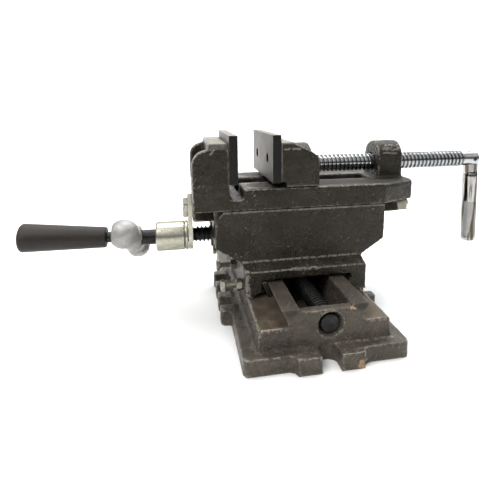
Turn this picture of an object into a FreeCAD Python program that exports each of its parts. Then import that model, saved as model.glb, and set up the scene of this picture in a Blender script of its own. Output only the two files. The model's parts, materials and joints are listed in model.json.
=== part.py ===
import FreeCAD, Part
import math
import os
import Sketcher

# Cross-slide drill-press vise, 100 mm class.  Millimetres.
# +X runs from the fixed jaw towards the clamp screw, +Y away from the front slot, +Z is up.
# The origin is the middle of the base's underside.

os.makedirs("parts", exist_ok=True)
doc = FreeCAD.newDocument("cross_slide_vise")
sheet = doc.addObject("Spreadsheet::Sheet", "dims")
nodes = []


# ---------------------------------------------------------------- sizes

class Size:
    """A number together with the spreadsheet formula that gives it."""

    def __init__(self, number, formula):
        self.number = number
        self.formula = formula

    def __add__(self, other):
        other = size(other)
        return Size(self.number + other.number, f"({self.formula} + {other.formula})")

    def __sub__(self, other):
        other = size(other)
        return Size(self.number - other.number, f"({self.formula} - {other.formula})")

    def __mul__(self, factor):
        factor = size(factor)
        return Size(self.number * factor.number, f"({self.formula} * {factor.formula})")

    def __truediv__(self, other):
        other = size(other)
        return Size(self.number / other.number, f"({self.formula} / {other.formula})")

    def __neg__(self):
        return Size(-self.number, f"(-1 * {self.formula})")

    def __radd__(self, other):
        return size(other) + self

    def __rsub__(self, other):
        return size(other) - self

    __rmul__ = __mul__


def size(value):
    return value if isinstance(value, Size) else Size(float(value), repr(float(value)))


class Dims:
    """The driving dimensions: each one is a cell of the sheet with an alias."""

    def __init__(self, values):
        for row, (name, number) in enumerate(values.items(), start=1):
            sheet.set(f"A{row}", name)
            sheet.set(f"B{row}", repr(float(number)))
            sheet.setAlias(f"B{row}", name)
            setattr(self, name, Size(float(number), f"dims.{name}"))


d = Dims({
    "gap": 0.3,                  # room between parts that slide on each other
    "fit": 0.05,                 # radial room in a bearing bore
    # base
    "base_half_x": 69, "base_half_y": 127, "plate_top": 14.5, "plate_corner": 5,
    "block_half_y": 118, "block_foot": 57.3, "block_half_x": 55.3, "block_top": 32.2,
    "rail_foot": 31.2, "rail_half": 37.2, "rail_top": 46.8,
    "channel_half": 21.5, "channel_floor": 17, "end_wall": 10, "wall_top": 44.3,
    "slot_wide": 15.6, "front_slot": 17.4, "side_slot": 18.3, "lug_top": 16,
    "front_lug": 20, "front_out": 6.4, "side_lug": 12.4, "side_out": 9.8,
    "lower_x": 3.5, "lower_z": 31.3, "front_bore": 10.2,
    # saddle
    "saddle_half_x": 58.5, "saddle_half_y": 63.7, "ledge_low": 57.5, "ledge_high": 62.9,
    "upper_half_x": 82.5, "jaw_half_y": 50.7, "neck": 60, "wing_low": 76.5,
    "saddle_top": 110.9, "gib_wide": 4.6, "leg_relief": 8, "way_ceiling": 48.4,
    "upper_z": 76.8, "cavity_half": 17, "cavity_low": 60,
    "gib_screw_z": 41.5, "gib_pitch": 50,
    # bed, the body that carries the jaws
    "bed_left": 101.2, "bed_low": 111.2, "bed_top": 131, "bed_taper": 82, "nose": 122,
    "way_low": 99.7, "way_neck": 33, "way_foot": 39, "way_right": 104,
    "rail_gap": 15, "tee_half": 24, "tee_low": 107, "tee_top": 121,
    "slot_left": 56, "slot_right": 86,
    "jaw_back": 86, "jaw_face": 68.3, "jaw_top": 172, "jaw_edge": 166.5, "rib": 12.5,
    "rib_round": 14, "relief_left": 67.4, "relief_deep": 9.6,
    "plate_thick": 7.8, "jaw_plate_low": 135.5, "jaw_plate_top": 178.9,
    "jaw_screw_y": 26.5, "jaw_screw_z": 155.5,
    "boss_left": 89.9, "boss_right": 117.1, "boss_round": 17.5, "boss_centre": 151,
    "clamp_z": 145.6, "thread_radius": 9,
    # movable jaw
    "plate_face": 29.1, "jaw_rear": 15.4, "hub_rear": 19.5, "hub_round": 22.5,
    "journal": 6, "tongue_low": 118,
    # clamp screw and its folding bar
    "thread_end": 198, "screw_end": 218, "stem_radius": 7.8, "pin_x": 211.6, "bar_slot": 7.4,
    "tongue_half": 7.6, "eye_radius": 7.4, "bracket_reach": 20.6,
    "bar_radius": 7.8, "bar_low": 48.8, "shoulder": 129.2,
    # leadscrews with their cranks, measured outwards from the casting they turn in
    "lead_radius": 8, "neck_radius": 7, "shaft_radius": 7.5, "tail_radius": 6,
    "bracket_thick": 4.2, "collar_end": 35.7, "collar_radius": 14.6, "hub_face": 49.6,
    "hub_centre": 57, "hub_ball": 13.2, "handle_ball": 13.6, "weight_ball": 12,
    "handle_arm": 36, "weight_arm": 34, "handle_lean": 4.5, "weight_side": 4.6,
    "spindle": 4, "spindle_neck": 4.8, "spindle_drop": 2.8, "ball_flat": 10.3,
    "grip_gap": 4.3, "grip_long": 73,
    "grip_small": 9.2, "grip_large": 12.4,
})

ARM_ANGLE = 24        # degrees by which both cranks stand above the horizontal at rest
GRIP_LEAN = 3.3       # degrees by which a grip leans off its leadscrew's direction, upwards at rest
BAR_TILT = 3        # degrees by which the folding bar hangs off plumb at rest


# ---------------------------------------------------------------- building blocks

def bind(thing, **sizes):
    for prop, value in sizes.items():
        thing.setExpression(prop.replace("__", "."), size(value).formula)


def place(thing, x=0, y=0, z=0, rotation=None):
    thing.Placement = FreeCAD.Placement(FreeCAD.Vector(), rotation or FreeCAD.Rotation())
    bind(thing, Placement__Base__x=x, Placement__Base__y=y, Placement__Base__z=z)
    return thing


ALONG_X = FreeCAD.Rotation(FreeCAD.Vector(0, 1, 0), 90)
ALONG_Y = FreeCAD.Rotation(FreeCAD.Vector(1, 0, 0), -90)


def box(name, low, high):
    thing = doc.addObject("Part::Box", name)
    low = [size(v) for v in low]
    high = [size(v) for v in high]
    bind(thing, Length=high[0] - low[0], Width=high[1] - low[1], Height=high[2] - low[2])
    return place(thing, *low)


def cylinder(name, radius, height, at=(0, 0, 0), rotation=None):
    thing = doc.addObject("Part::Cylinder", name)
    bind(thing, Radius=radius, Height=height)
    return place(thing, *at, rotation=rotation)


def ball(name, radius, at=(0, 0, 0)):
    thing = doc.addObject("Part::Sphere", name)
    bind(thing, Radius=radius)
    return place(thing, *at)


def hexagon(name, radius, height, at=(0, 0, 0), rotation=None):
    thing = doc.addObject("Part::Prism", name)
    thing.Polygon = 6
    bind(thing, Circumradius=radius, Height=height)
    return place(thing, *at, rotation=rotation)


def outline(name, points):
    """A closed sketch of straight lines whose corners are bound to the sheet."""
    sketch = doc.addObject("Sketcher::SketchObject", name)
    points = [(size(x), size(y)) for x, y in points]
    corners = [FreeCAD.Vector(x.number, y.number, 0) for x, y in points]
    count = len(corners)
    for i in range(count):
        sketch.addGeometry(Part.LineSegment(corners[i], corners[(i + 1) % count]))
    for i in range(count):
        sketch.addConstraint(Sketcher.Constraint("Coincident", i, 2, (i + 1) % count, 1))
    for i, (x, y) in enumerate(points):
        for kind, value, axis in (("DistanceX", x, -2), ("DistanceY", y, -1)):
            if value.number == 0:
                sketch.addConstraint(Sketcher.Constraint("PointOnObject", i, 1, axis))
                continue
            index = sketch.addConstraint(Sketcher.Constraint(kind, -1, 1, i, 1, value.number))
            sketch.setExpression(f"Constraints[{index}]", value.formula)
    return sketch


PLANES = {
    "XY": (FreeCAD.Rotation(), FreeCAD.Vector(0, 0, 1)),
    "XZ": (FreeCAD.Rotation(FreeCAD.Vector(1, 0, 0), 90), FreeCAD.Vector(0, 1, 0)),
    "YZ": (FreeCAD.Rotation(FreeCAD.Vector(1, 1, 1), 120), FreeCAD.Vector(1, 0, 0)),
}


def prism(name, plane, points, start, end):
    """The outline drawn on a plane and extruded along that plane's normal."""
    rotation, normal = PLANES[plane]
    sketch = outline(name + "_sketch", points)
    at = {"XY": (0, 0, start), "XZ": (0, start, 0), "YZ": (start, 0, 0)}[plane]
    place(sketch, *at, rotation=rotation)
    thing = doc.addObject("Part::Extrusion", name)
    thing.Base = sketch
    thing.DirMode = "Custom"
    thing.Dir = normal
    thing.Solid = True
    bind(thing, LengthFwd=size(end) - start)
    return thing


def turned(name, profile):
    """A solid of revolution about Z; the profile gives (radius, height) from bottom to top."""
    points = [(0, profile[0][1])] + list(profile) + [(0, profile[-1][1])]
    sketch = outline(name + "_sketch", points)
    place(sketch, rotation=PLANES["XZ"][0])
    thing = doc.addObject("Part::Revolution", name)
    thing.Source = sketch
    thing.Axis = FreeCAD.Vector(0, 0, 1)
    thing.Angle = 360
    thing.Solid = True
    return thing


def fuse(name, things):
    thing = doc.addObject("Part::MultiFuse", name)
    thing.Shapes = list(things)
    thing.Refine = True
    return thing


def cut(name, base, tools):
    tools = list(tools)
    tool = tools[0] if len(tools) == 1 else fuse(name + "_tools", tools)
    thing = doc.addObject("Part::Cut", name)
    thing.Base = base
    thing.Tool = tool
    thing.Refine = True
    return thing


def rounded(name, base, radius, wanted):
    """Rounds the edges of the base whose middle point passes the test."""
    doc.recompute()
    edges = []
    for index, edge in enumerate(base.Shape.Edges, start=1):
        middle = edge.valueAt((edge.FirstParameter + edge.LastParameter) / 2)
        if wanted(middle, edge):
            edges.append((index, size(radius).number, size(radius).number))
    if not edges:
        raise ValueError(f"{name}: no edge to round")
    thing = doc.addObject("Part::Fillet", name)
    thing.Base = base
    thing.Edges = edges
    return thing


def group(name, things):
    thing = doc.addObject("Part::Compound", name)
    thing.Links = list(things)
    return thing


def node(label, thing):
    thing.Label = label
    nodes.append(thing)
    return thing


def lower_flank(z):
    """Half the width of the base's dovetail at height z."""
    slope = (d.rail_half - d.rail_foot) / (d.rail_top - d.block_top)
    return d.rail_foot + (z - d.block_top) * slope


def upper_flank(z):
    """Half the width of the bed's dovetail at height z."""
    slope = (d.way_foot - d.way_neck) / (d.bed_low - d.way_low)
    return d.way_neck + (d.bed_low - z) * slope


def near(value, target, room=0.05):
    return abs(value - size(target).number) < room


def upright(edge):
    ends = [v.Point for v in edge.Vertexes]
    return len(ends) == 2 and math.hypot(ends[0].x - ends[1].x, ends[0].y - ends[1].y) < 0.01


# ---------------------------------------------------------------- base

def slot_cutter(name, x, y, outward):
    """A U slot with a round inner end; outward is the direction in which it is open."""
    half = d.slot_wide * 0.5
    reach = 2 * d.side_slot
    end = cylinder(name + "_end", half, d.lug_top + 2, (x, y, -1))
    if outward == "front":
        mouth = box(name + "_mouth", (x - half, y - reach, -1), (x + half, y, d.lug_top + 1))
    elif outward == "rear":
        mouth = box(name + "_mouth", (x - half, y, -1), (x + half, y + reach, d.lug_top + 1))
    elif outward == "left":
        mouth = box(name + "_mouth", (x - reach, y - half, -1), (x, y + half, d.lug_top + 1))
    else:
        mouth = box(name + "_mouth", (x, y - half, -1), (x + reach, y + half, d.lug_top + 1))
    return [end, mouth]


def build_base():
    lugs = []
    cuts = []
    front = d.base_half_y + d.front_out
    side = d.base_half_x + d.side_out
    span = d.slot_wide * 0.5 + d.front_lug
    inner = front - d.front_slot + d.slot_wide * 0.5
    for name, sign in (("front", -1), ("rear", 1)):
        ends = sorted((sign * front, sign * (d.base_half_y - 9)), key=lambda v: v.number)
        lugs.append(box(name + "_lugs", (-span, ends[0], 0), (span, ends[1], d.plate_top)))
        cuts += slot_cutter(name + "_slot", 0, sign * inner, name)
    pitch = d.slot_wide + d.side_lug
    half_comb = 1.5 * pitch + d.side_lug * 0.5
    inner = side - d.side_slot + d.slot_wide * 0.5
    for name, sign in (("left", -1), ("right", 1)):
        ends = sorted((sign * side, sign * (d.base_half_x - 5)), key=lambda v: v.number)
        lugs.append(box(name + "_lugs", (ends[0], -half_comb, 0), (ends[1], half_comb, d.lug_top)))
        for step in (-1, 0, 1):
            cuts += slot_cutter(f"{name}_slot_{step + 1}", sign * inner, step * pitch, name)

    plate = box("base_plate", (-d.base_half_x, -d.base_half_y, 0),
                (d.base_half_x, d.base_half_y, d.plate_top))
    plate = rounded("base_plate_round", plate, d.plate_corner, lambda p, e: upright(e))
    block = prism("base_block", "XZ", [
        (-d.block_foot, d.plate_top - 1), (-d.block_half_x, d.block_top),
        (-d.rail_foot, d.block_top), (-d.rail_half, d.rail_top),
        (d.rail_half, d.rail_top), (d.rail_foot, d.block_top),
        (d.block_half_x, d.block_top), (d.block_foot, d.plate_top - 1),
    ], -d.block_half_y, d.block_half_y)

    wall = d.block_half_y - d.end_wall
    cuts.append(box("channel", (-d.channel_half, -wall, d.channel_floor),
                    (d.channel_half, wall, d.rail_top + 1)))
    cuts.append(box("channel_mouth", (-d.channel_half, -d.block_half_y - 1, d.wall_top),
                    (d.channel_half, d.block_half_y + 1, d.rail_top + 1)))
    bore = 8.2 + d.fit
    cuts.append(cylinder("lower_bore", bore, 2 * d.block_half_y + 2,
                         (d.lower_x, -d.block_half_y - 1, d.lower_z), ALONG_Y))
    cuts.append(cylinder("lower_counterbore", d.front_bore, 6,
                         (d.lower_x, -d.block_half_y - 1, d.lower_z), ALONG_Y))
    for sign in (-1, 1):
        cuts.append(cylinder(f"lower_bracket_tap_{sign + 1}", 3, 13,
                             (d.lower_x + sign * d.bracket_reach, d.block_half_y - 12, d.lower_z), ALONG_Y))
    solid = cut("base_cut", fuse("base_fuse", [plate, block] + lugs), cuts)
    lug_edge = d.slot_wide * 0.5 + d.front_lug
    solid = rounded("front_lug_foot", solid, 6, lambda p, e: (
        upright(e) and near(abs(p.y), d.base_half_y) and near(abs(p.x), lug_edge)))
    solid = rounded("comb_ends", solid, 4, lambda p, e: (
        upright(e) and near(abs(p.y), half_comb)
        and (near(abs(p.x), side) or near(abs(p.x), d.base_half_x))))
    return node("base_casting", solid)


# ---------------------------------------------------------------- saddle

def build_saddle():
    edge = d.gap + 0.05
    lower = prism("saddle_lower", "YZ", [
        (-d.saddle_half_y, d.block_top + d.gap), (d.saddle_half_y, d.block_top + d.gap),
        (d.saddle_half_y, d.ledge_low), (d.jaw_half_y, d.ledge_high),
        (-d.jaw_half_y, d.ledge_high), (-d.saddle_half_y, d.ledge_low),
    ], -d.saddle_half_x, d.saddle_half_x)
    lower = rounded("saddle_lower_round", lower, 6,
                    lambda p, e: upright(e) and p.x < 0 and near(abs(p.y), d.saddle_half_y))
    upper = prism("saddle_upper", "XZ", [
        (-d.neck, d.ledge_high - 1), (-d.upper_half_x, d.wing_low),
        (-d.upper_half_x, d.saddle_top), (d.upper_half_x, d.saddle_top),
        (d.upper_half_x, d.wing_low), (d.neck, d.ledge_high - 1),
    ], -d.jaw_half_y, d.jaw_half_y)
    nut_boss = cylinder("nut_boss", 15, d.upper_half_x - 50,
                        (-d.upper_half_x, 0, d.upper_z), ALONG_X)

    low = d.block_top - 1
    high = d.rail_top + d.gap
    seat = edge + d.gib_wide + 0.05
    lower_way = prism("saddle_lower_way", "XZ", [
        (-lower_flank(low) - seat, low), (-lower_flank(high) - seat, high),
        (lower_flank(high) + edge, high), (lower_flank(low) + edge, low),
    ], -d.saddle_half_y - 1, d.saddle_half_y + 1)
    reliefs = []
    for sign, start in (("front", -d.saddle_half_y - 1), ("rear", d.saddle_half_y - d.leg_relief)):
        reliefs.append(prism(f"leg_relief_{sign}", "XZ", [
            (-50.5, d.block_top), (-41.6, 39.6), (-42.2, d.way_ceiling),
            (44.2, d.way_ceiling), (37.5, d.block_top),
        ], start, start + d.leg_relief + 1))
    nut_room = box("lower_nut_seat", (d.lower_x - 15, -15, d.rail_top - 1),
                   (d.lower_x + 15, 15, 54))
    low = d.way_low - d.gap
    high = d.saddle_top + 1
    upper_way = prism("saddle_upper_way", "YZ", [
        (-upper_flank(high) - edge, high), (-upper_flank(low) - edge, low),
        (upper_flank(low) + seat, low), (upper_flank(high) + seat, high),
    ], -d.upper_half_x - 1, d.upper_half_x + 1)
    cavity = box("saddle_cavity", (-56, -d.cavity_half, d.cavity_low),
                 (d.upper_half_x + 1, d.cavity_half, d.way_low))
    nut_bore = cylinder("upper_nut_bore", 13, 40, (-d.upper_half_x - 1, 0, d.upper_z), ALONG_X)
    taps = []
    for step in (-1, 0, 1):
        taps.append(cylinder(f"lower_gib_tap_{step + 1}", 3, 30,
                             (-d.saddle_half_x - 1, step * d.gib_pitch, d.gib_screw_z), ALONG_X))
        taps.append(cylinder(f"upper_gib_tap_{step + 1}", 3, 20,
                             (step * d.gib_pitch, d.jaw_half_y - 18, 105), ALONG_Y))
    corner = prism("wing_corner", "XZ", [
        (-d.upper_half_x - 1, 84), (-d.upper_half_x, 84), (-d.upper_half_x + 0.7, 95),
        (-d.upper_half_x + 2.4, 102.7), (-d.upper_half_x + 4.8, 107.6),
        (-d.upper_half_x + 8, d.saddle_top), (-d.upper_half_x + 8, d.saddle_top + 1),
        (-d.upper_half_x - 1, d.saddle_top + 1),
    ], -d.jaw_half_y - 1, -d.jaw_half_y + 11)
    solid = cut("saddle_cut", fuse("saddle_fuse", [lower, upper, nut_boss]),
                [lower_way, nut_room, upper_way, cavity, nut_bore, corner] + reliefs + taps)
    return node("saddle_casting", solid)


def build_gibs():
    edge = d.gap + 0.05
    outer = edge + d.gib_wide
    low = d.block_top + d.gap + 0.4
    high = d.rail_top
    node("lower_gib", prism("lower_gib_strip", "XZ", [
        (-lower_flank(low) - outer, low), (-lower_flank(high) - outer, high),
        (-lower_flank(high) - edge, high), (-lower_flank(low) - edge, low),
    ], -d.saddle_half_y + 0.6, d.saddle_half_y - 0.6))
    low = d.way_low
    high = d.saddle_top - 0.3
    node("upper_gib", prism("upper_gib_strip", "YZ", [
        (upper_flank(low) + edge, low), (upper_flank(low) + outer, low),
        (upper_flank(high) + outer, high), (upper_flank(high) + edge, high),
    ], -d.upper_half_x + 1, d.upper_half_x - 1))

    # the screws end where the leaning gibs are farthest out within the shank's height
    lower_tip = lower_flank(d.gib_screw_z + 3) + outer + 0.1
    upper_tip = upper_flank(size(102)) + outer + 0.1
    screws = {"lower": [], "upper": []}
    nuts = {"lower": [], "upper": []}
    for step in (-1, 0, 1):
        at = step * d.gib_pitch
        face = -d.saddle_half_x
        screws["lower"] += [
            cylinder(f"lower_gib_shank_{step + 1}", 3, 16 - face - lower_tip,
                     (face - 16, at, d.gib_screw_z), ALONG_X),
            hexagon(f"lower_gib_head_{step + 1}", 5.8, 4, (face - 19.8, at, d.gib_screw_z), ALONG_X)]
        nuts["lower"].append(cut(
            f"lower_gib_nut_{step + 1}",
            hexagon(f"lower_gib_nut_blank_{step + 1}", 5.8, 5.6, (face - 5.6, at, d.gib_screw_z), ALONG_X),
            [cylinder(f"lower_gib_nut_hole_{step + 1}", 3, 8, (face - 7, at, d.gib_screw_z), ALONG_X)]))
        face = d.jaw_half_y
        screws["upper"] += [
            cylinder(f"upper_gib_shank_{step + 1}", 3, face + 14 - upper_tip,
                     (at, upper_tip, 105), ALONG_Y),
            hexagon(f"upper_gib_head_{step + 1}", 5.8, 4, (at, face + 13.8, 105), ALONG_Y)]
        nuts["upper"].append(cut(
            f"upper_gib_nut_{step + 1}",
            hexagon(f"upper_gib_nut_blank_{step + 1}", 5.8, 5.6, (at, face, 105), ALONG_Y),
            [cylinder(f"upper_gib_nut_hole_{step + 1}", 3, 8, (at, face - 1, 105), ALONG_Y)]))
    for way in ("lower", "upper"):
        pairs = [fuse(f"{way}_gib_screw_{i}", screws[way][2 * i:2 * i + 2]) for i in range(3)]
        node(f"{way}_gib_screws", group(f"{way}_gib_screw_set", pairs))
        node(f"{way}_gib_locknuts", group(f"{way}_gib_nut_set", nuts[way]))


def build_nuts():
    low = cut("lower_nut_cut",
              box("lower_nut_block", (d.lower_x - 15, -15, 20), (d.lower_x + 15, 15, 54)),
              [cylinder("lower_nut_thread", d.lead_radius + d.fit, 32,
                        (d.lower_x, -16, d.lower_z), ALONG_Y)])
    node("lower_nut", low)
    barrel = cylinder("upper_nut_barrel", 13, 30, (-d.upper_half_x - 0.6, 0, d.upper_z), ALONG_X)
    high = cut("upper_nut_cut", barrel,
               [cylinder("upper_nut_thread", d.lead_radius + d.fit, 32,
                         (-d.upper_half_x - 1.6, 0, d.upper_z), ALONG_X)])
    node("upper_nut", high)


# ---------------------------------------------------------------- bed with the fixed jaw

def build_bed():
    slab = prism("bed_slab", "XY", [
        (-d.bed_left, -d.jaw_half_y), (d.bed_taper, -d.jaw_half_y), (d.nose - 4, -36),
        (d.nose, -30), (d.nose, 30), (d.nose - 4, 36), (d.bed_taper, d.jaw_half_y),
        (-d.bed_left, d.jaw_half_y),
    ], d.bed_low, d.bed_top)
    way = prism("bed_way", "YZ", [
        (-d.way_neck, d.bed_low + 1), (-d.way_neck, d.bed_low), (-d.way_foot, d.way_low),
        (d.way_foot, d.way_low), (d.way_neck, d.bed_low), (d.way_neck, d.bed_low + 1),
    ], -d.bed_left, d.way_right)
    jaw = prism("fixed_jaw_block", "YZ", [
        (-d.jaw_half_y, d.bed_top - 1), (-d.jaw_half_y, d.jaw_edge), (-45.5, d.jaw_top),
        (45.5, d.jaw_top), (d.jaw_half_y, d.jaw_edge), (d.jaw_half_y, d.bed_top - 1),
    ], -d.jaw_back, -d.jaw_face)
    ribs = []
    for name, start in (("near", -d.jaw_half_y), ("far", d.jaw_half_y - d.rib)):
        rib = box(f"fixed_{name}_rib", (-d.bed_left, start, d.bed_top - 1),
                  (-d.jaw_back + 2, start + d.rib, d.jaw_edge))
        ribs.append(rounded(f"fixed_{name}_rib_round", rib, d.rib_round,
                            lambda p, e: near(p.x, -d.bed_left) and near(p.z, d.jaw_edge)))
    boss = fuse("clamp_boss", [
        box("clamp_boss_foot", (d.boss_left, -d.boss_round, d.bed_top - 1),
            (d.boss_right, d.boss_round, d.boss_centre)),
        cylinder("clamp_boss_top", d.boss_round, d.boss_right - d.boss_left,
                 (d.boss_left, 0, d.boss_centre), ALONG_X)])
    relief = box("jaw_relief", (-d.relief_left, -d.jaw_half_y - 1, d.bed_top - d.relief_deep),
                 (-d.slot_left, d.jaw_half_y + 1, d.bed_top + 1))
    relief = rounded("jaw_relief_round", relief, 4,
                     lambda p, e: near(p.z, d.bed_top - d.relief_deep) and abs(p.y) < 1)
    cuts = [
        relief,
        box("rail_slot", (-d.slot_left - 1, -d.rail_gap, d.tee_low),
            (d.slot_right, d.rail_gap, d.bed_top + 1)),
        box("tee_slot", (-d.slot_left, -d.tee_half, d.tee_low),
            (d.slot_right, d.tee_half, d.tee_top)),
        cylinder("clamp_thread", d.thread_radius + d.fit, 40, (d.boss_left - 4, 0, d.clamp_z), ALONG_X),
    ]
    for sign in (-1, 1):
        cuts.append(cylinder(f"bracket_tap_{sign + 1}", 3, 16,
                             (-d.bed_left - 1, sign * 18, 105.6), ALONG_X))
        cuts.append(cylinder(f"fixed_plate_tap_{sign + 1}", 3, 16,
                             (-d.jaw_face - 15, sign * d.jaw_screw_y, d.jaw_screw_z), ALONG_X))
        cuts.append(cylinder(f"cap_tap_{sign + 1}", 2.5, 12,
                             (d.way_right - 11, sign * 28.5, 105.6), ALONG_X))
    solid = cut("bed_cut", fuse("bed_fuse", [slab, way, jaw, boss] + ribs), cuts)

    def nose_edge(p, edge):
        on_top = near(p.z, d.bed_top) and p.x > d.bed_taper.number + 1
        return on_top and not near(abs(p.y), 0, 29)

    return node("bed_casting", rounded("bed_round", solid, 3.6, nose_edge))


def build_jaw_plate(name, left, head):
    """A jaw plate; its counterbores face +X when head is 1 and -X when head is -1."""
    plate = box(f"{name}_blank", (left, -d.jaw_half_y, d.jaw_plate_low),
                (left + d.plate_thick, d.jaw_half_y, d.jaw_plate_top))
    holes = []
    screws = []
    for sign in (-1, 1):
        at = (left - 1, sign * d.jaw_screw_y, d.jaw_screw_z)
        holes.append(cylinder(f"{name}_hole_{sign + 1}", 3, d.plate_thick + 2, at, ALONG_X))
        deep = left + d.plate_thick - 6.4 if head > 0 else left - 1
        holes.append(cylinder(f"{name}_bore_{sign + 1}", 4.9, 7.4,
                              (deep, at[1], at[2]), ALONG_X))
        head_at = left + d.plate_thick - 6.4 if head > 0 else left + 1.6
        shank_at = left - 10 if head > 0 else left + 6
        socket_at = head_at + 2.2 if head > 0 else head_at - 1
        screws.append(cut(
            f"{name}_screw_{sign + 1}",
            fuse(f"{name}_screw_blank_{sign + 1}", [
                cylinder(f"{name}_head_{sign + 1}", 4.6, 4.8, (head_at, at[1], at[2]), ALONG_X),
                cylinder(f"{name}_shank_{sign + 1}", 3, 12, (shank_at, at[1], at[2]), ALONG_X)]),
            [hexagon(f"{name}_socket_{sign + 1}", 2.9, 3.6, (socket_at, at[1], at[2]), ALONG_X)]))
    node(name, cut(f"{name}_cut", plate, holes))
    node(f"{name}_screws", group(f"{name}_screw_set", screws))


def build_end_cap():
    cap = prism("end_cap_blank", "YZ", [
        (-31.5, 109.5), (-36.5, 100.2), (36.5, 100.2), (31.5, 109.5),
    ], d.way_right, d.way_right + 10)
    holes = []
    screws = []
    for sign in (-1, 1):
        at = (d.way_right - 10, sign * 28.5, 105.6)
        holes.append(cylinder(f"cap_hole_{sign + 1}", 2.5, 20, at, ALONG_X))
        screws.append(fuse(f"cap_screw_{sign + 1}", [
            cylinder(f"cap_shank_{sign + 1}", 2.5, 21, at, ALONG_X),
            hexagon(f"cap_head_{sign + 1}", 4.6, 3.5, (d.way_right + 10, at[1], at[2]), ALONG_X)]))
    node("slide_end_cap", cut("end_cap_cut", cap, holes))
    node("slide_end_cap_screws", group("cap_screw_set", screws))


# ---------------------------------------------------------------- movable jaw

def build_movable_jaw():
    front = -d.plate_face + d.plate_thick
    low = d.bed_top + d.gap
    block = prism("movable_block", "YZ", [
        (-d.jaw_half_y, low), (-d.jaw_half_y, 170.4), (-49, d.jaw_top),
        (49, d.jaw_top), (d.jaw_half_y, 170.4), (d.jaw_half_y, low),
    ], front, -7)
    ribs = []
    for name, start in (("near", -d.jaw_half_y), ("far", d.jaw_half_y - d.rib)):
        rib = prism(f"movable_{name}_rib", "XZ", [
            (-9, low), (-9, 170.4), (-7, 170.4), (8, 163.6), (d.jaw_rear, 158), (d.jaw_rear, low),
        ], start, start + d.rib)
        ribs.append(rounded(f"movable_{name}_rib_round", rib, 6,
                            lambda p, e: near(p.x, d.jaw_rear) and near(p.z, 158)))
    hub = cylinder("movable_hub", d.hub_round, d.hub_rear + 9, (-9, 0, d.clamp_z), ALONG_X)
    hub = rounded("movable_hub_round", hub, 3.5, lambda p, e: near(p.x, d.hub_rear))
    hub = cut("movable_hub_foot", hub, [box("movable_hub_under", (-20, -30, 110), (30, 30, low))])
    foot = box("movable_foot", (front, -d.rail_gap - 9, low), (d.jaw_rear, d.rail_gap + 9, 140))
    tongue = box("movable_tongue", (front + 1, -d.rail_gap + d.gap, 121.4),
                 (d.jaw_rear - 1, d.rail_gap - d.gap, low + 1))
    web = box("movable_web", (-9, -d.jaw_half_y + 2, low), (4, d.jaw_half_y - 2, 136))
    cuts = [
        box("movable_toe", (front - 1, -d.jaw_half_y - 1, low - 1),
            (front + 5, d.jaw_half_y + 1, d.jaw_plate_low + 0.2)),
        cylinder("movable_bore", d.journal + d.fit, 60, (-16, 0, d.clamp_z), ALONG_X),
        cylinder("retainer_hole", 2, 60, (2, d.journal + 0.9, d.clamp_z - 15)),
    ]
    for sign in (-1, 1):
        cuts.append(cylinder(f"keeper_tap_{sign + 1}", 2.5, 14, (-3 + sign * 10, 0, 121)))
        cuts.append(cylinder(f"movable_plate_tap_{sign + 1}", 3, 12,
                             (front - 1, sign * d.jaw_screw_y, d.jaw_screw_z), ALONG_X))
    solid = cut("movable_cut",
                fuse("movable_fuse", [block, hub, foot, tongue, web] + ribs), cuts)
    node("movable_jaw_casting", solid)

    keeper = box("keeper_blank", (front + 2, -d.tee_half + 1, 114.5),
                 (d.jaw_rear - 2, d.tee_half - 1, d.tee_top - d.gap))
    holes = []
    screws = []
    for sign in (-1, 1):
        x = -3 + sign * 10
        holes.append(cylinder(f"keeper_hole_{sign + 1}", 2.5, 10, (x, 0, 113)))
        screws.append(fuse(f"keeper_screw_{sign + 1}", [
            cylinder(f"keeper_shank_{sign + 1}", 2.5, 19.5, (x, 0, 114)),
            cylinder(f"keeper_head_{sign + 1}", 4.2, 4, (x, 0, 110.5))]))
    spacer = box("keeper_spacer", (front + 4, -d.rail_gap + 2, 119), (d.jaw_rear - 4, d.rail_gap - 2, 121.4))
    node("jaw_keeper", cut("keeper_cut", fuse("keeper_fuse", [keeper, spacer]), holes))
    node("jaw_keeper_screws", group("keeper_screw_set", screws))
    pin = cylinder("retainer_pin_rod", 2, 35.4, (2, d.journal + 0.9, d.clamp_z - 14.6))
    node("clamp_retainer_pin", pin)


# ---------------------------------------------------------------- clamp screw and folding bar

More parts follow.
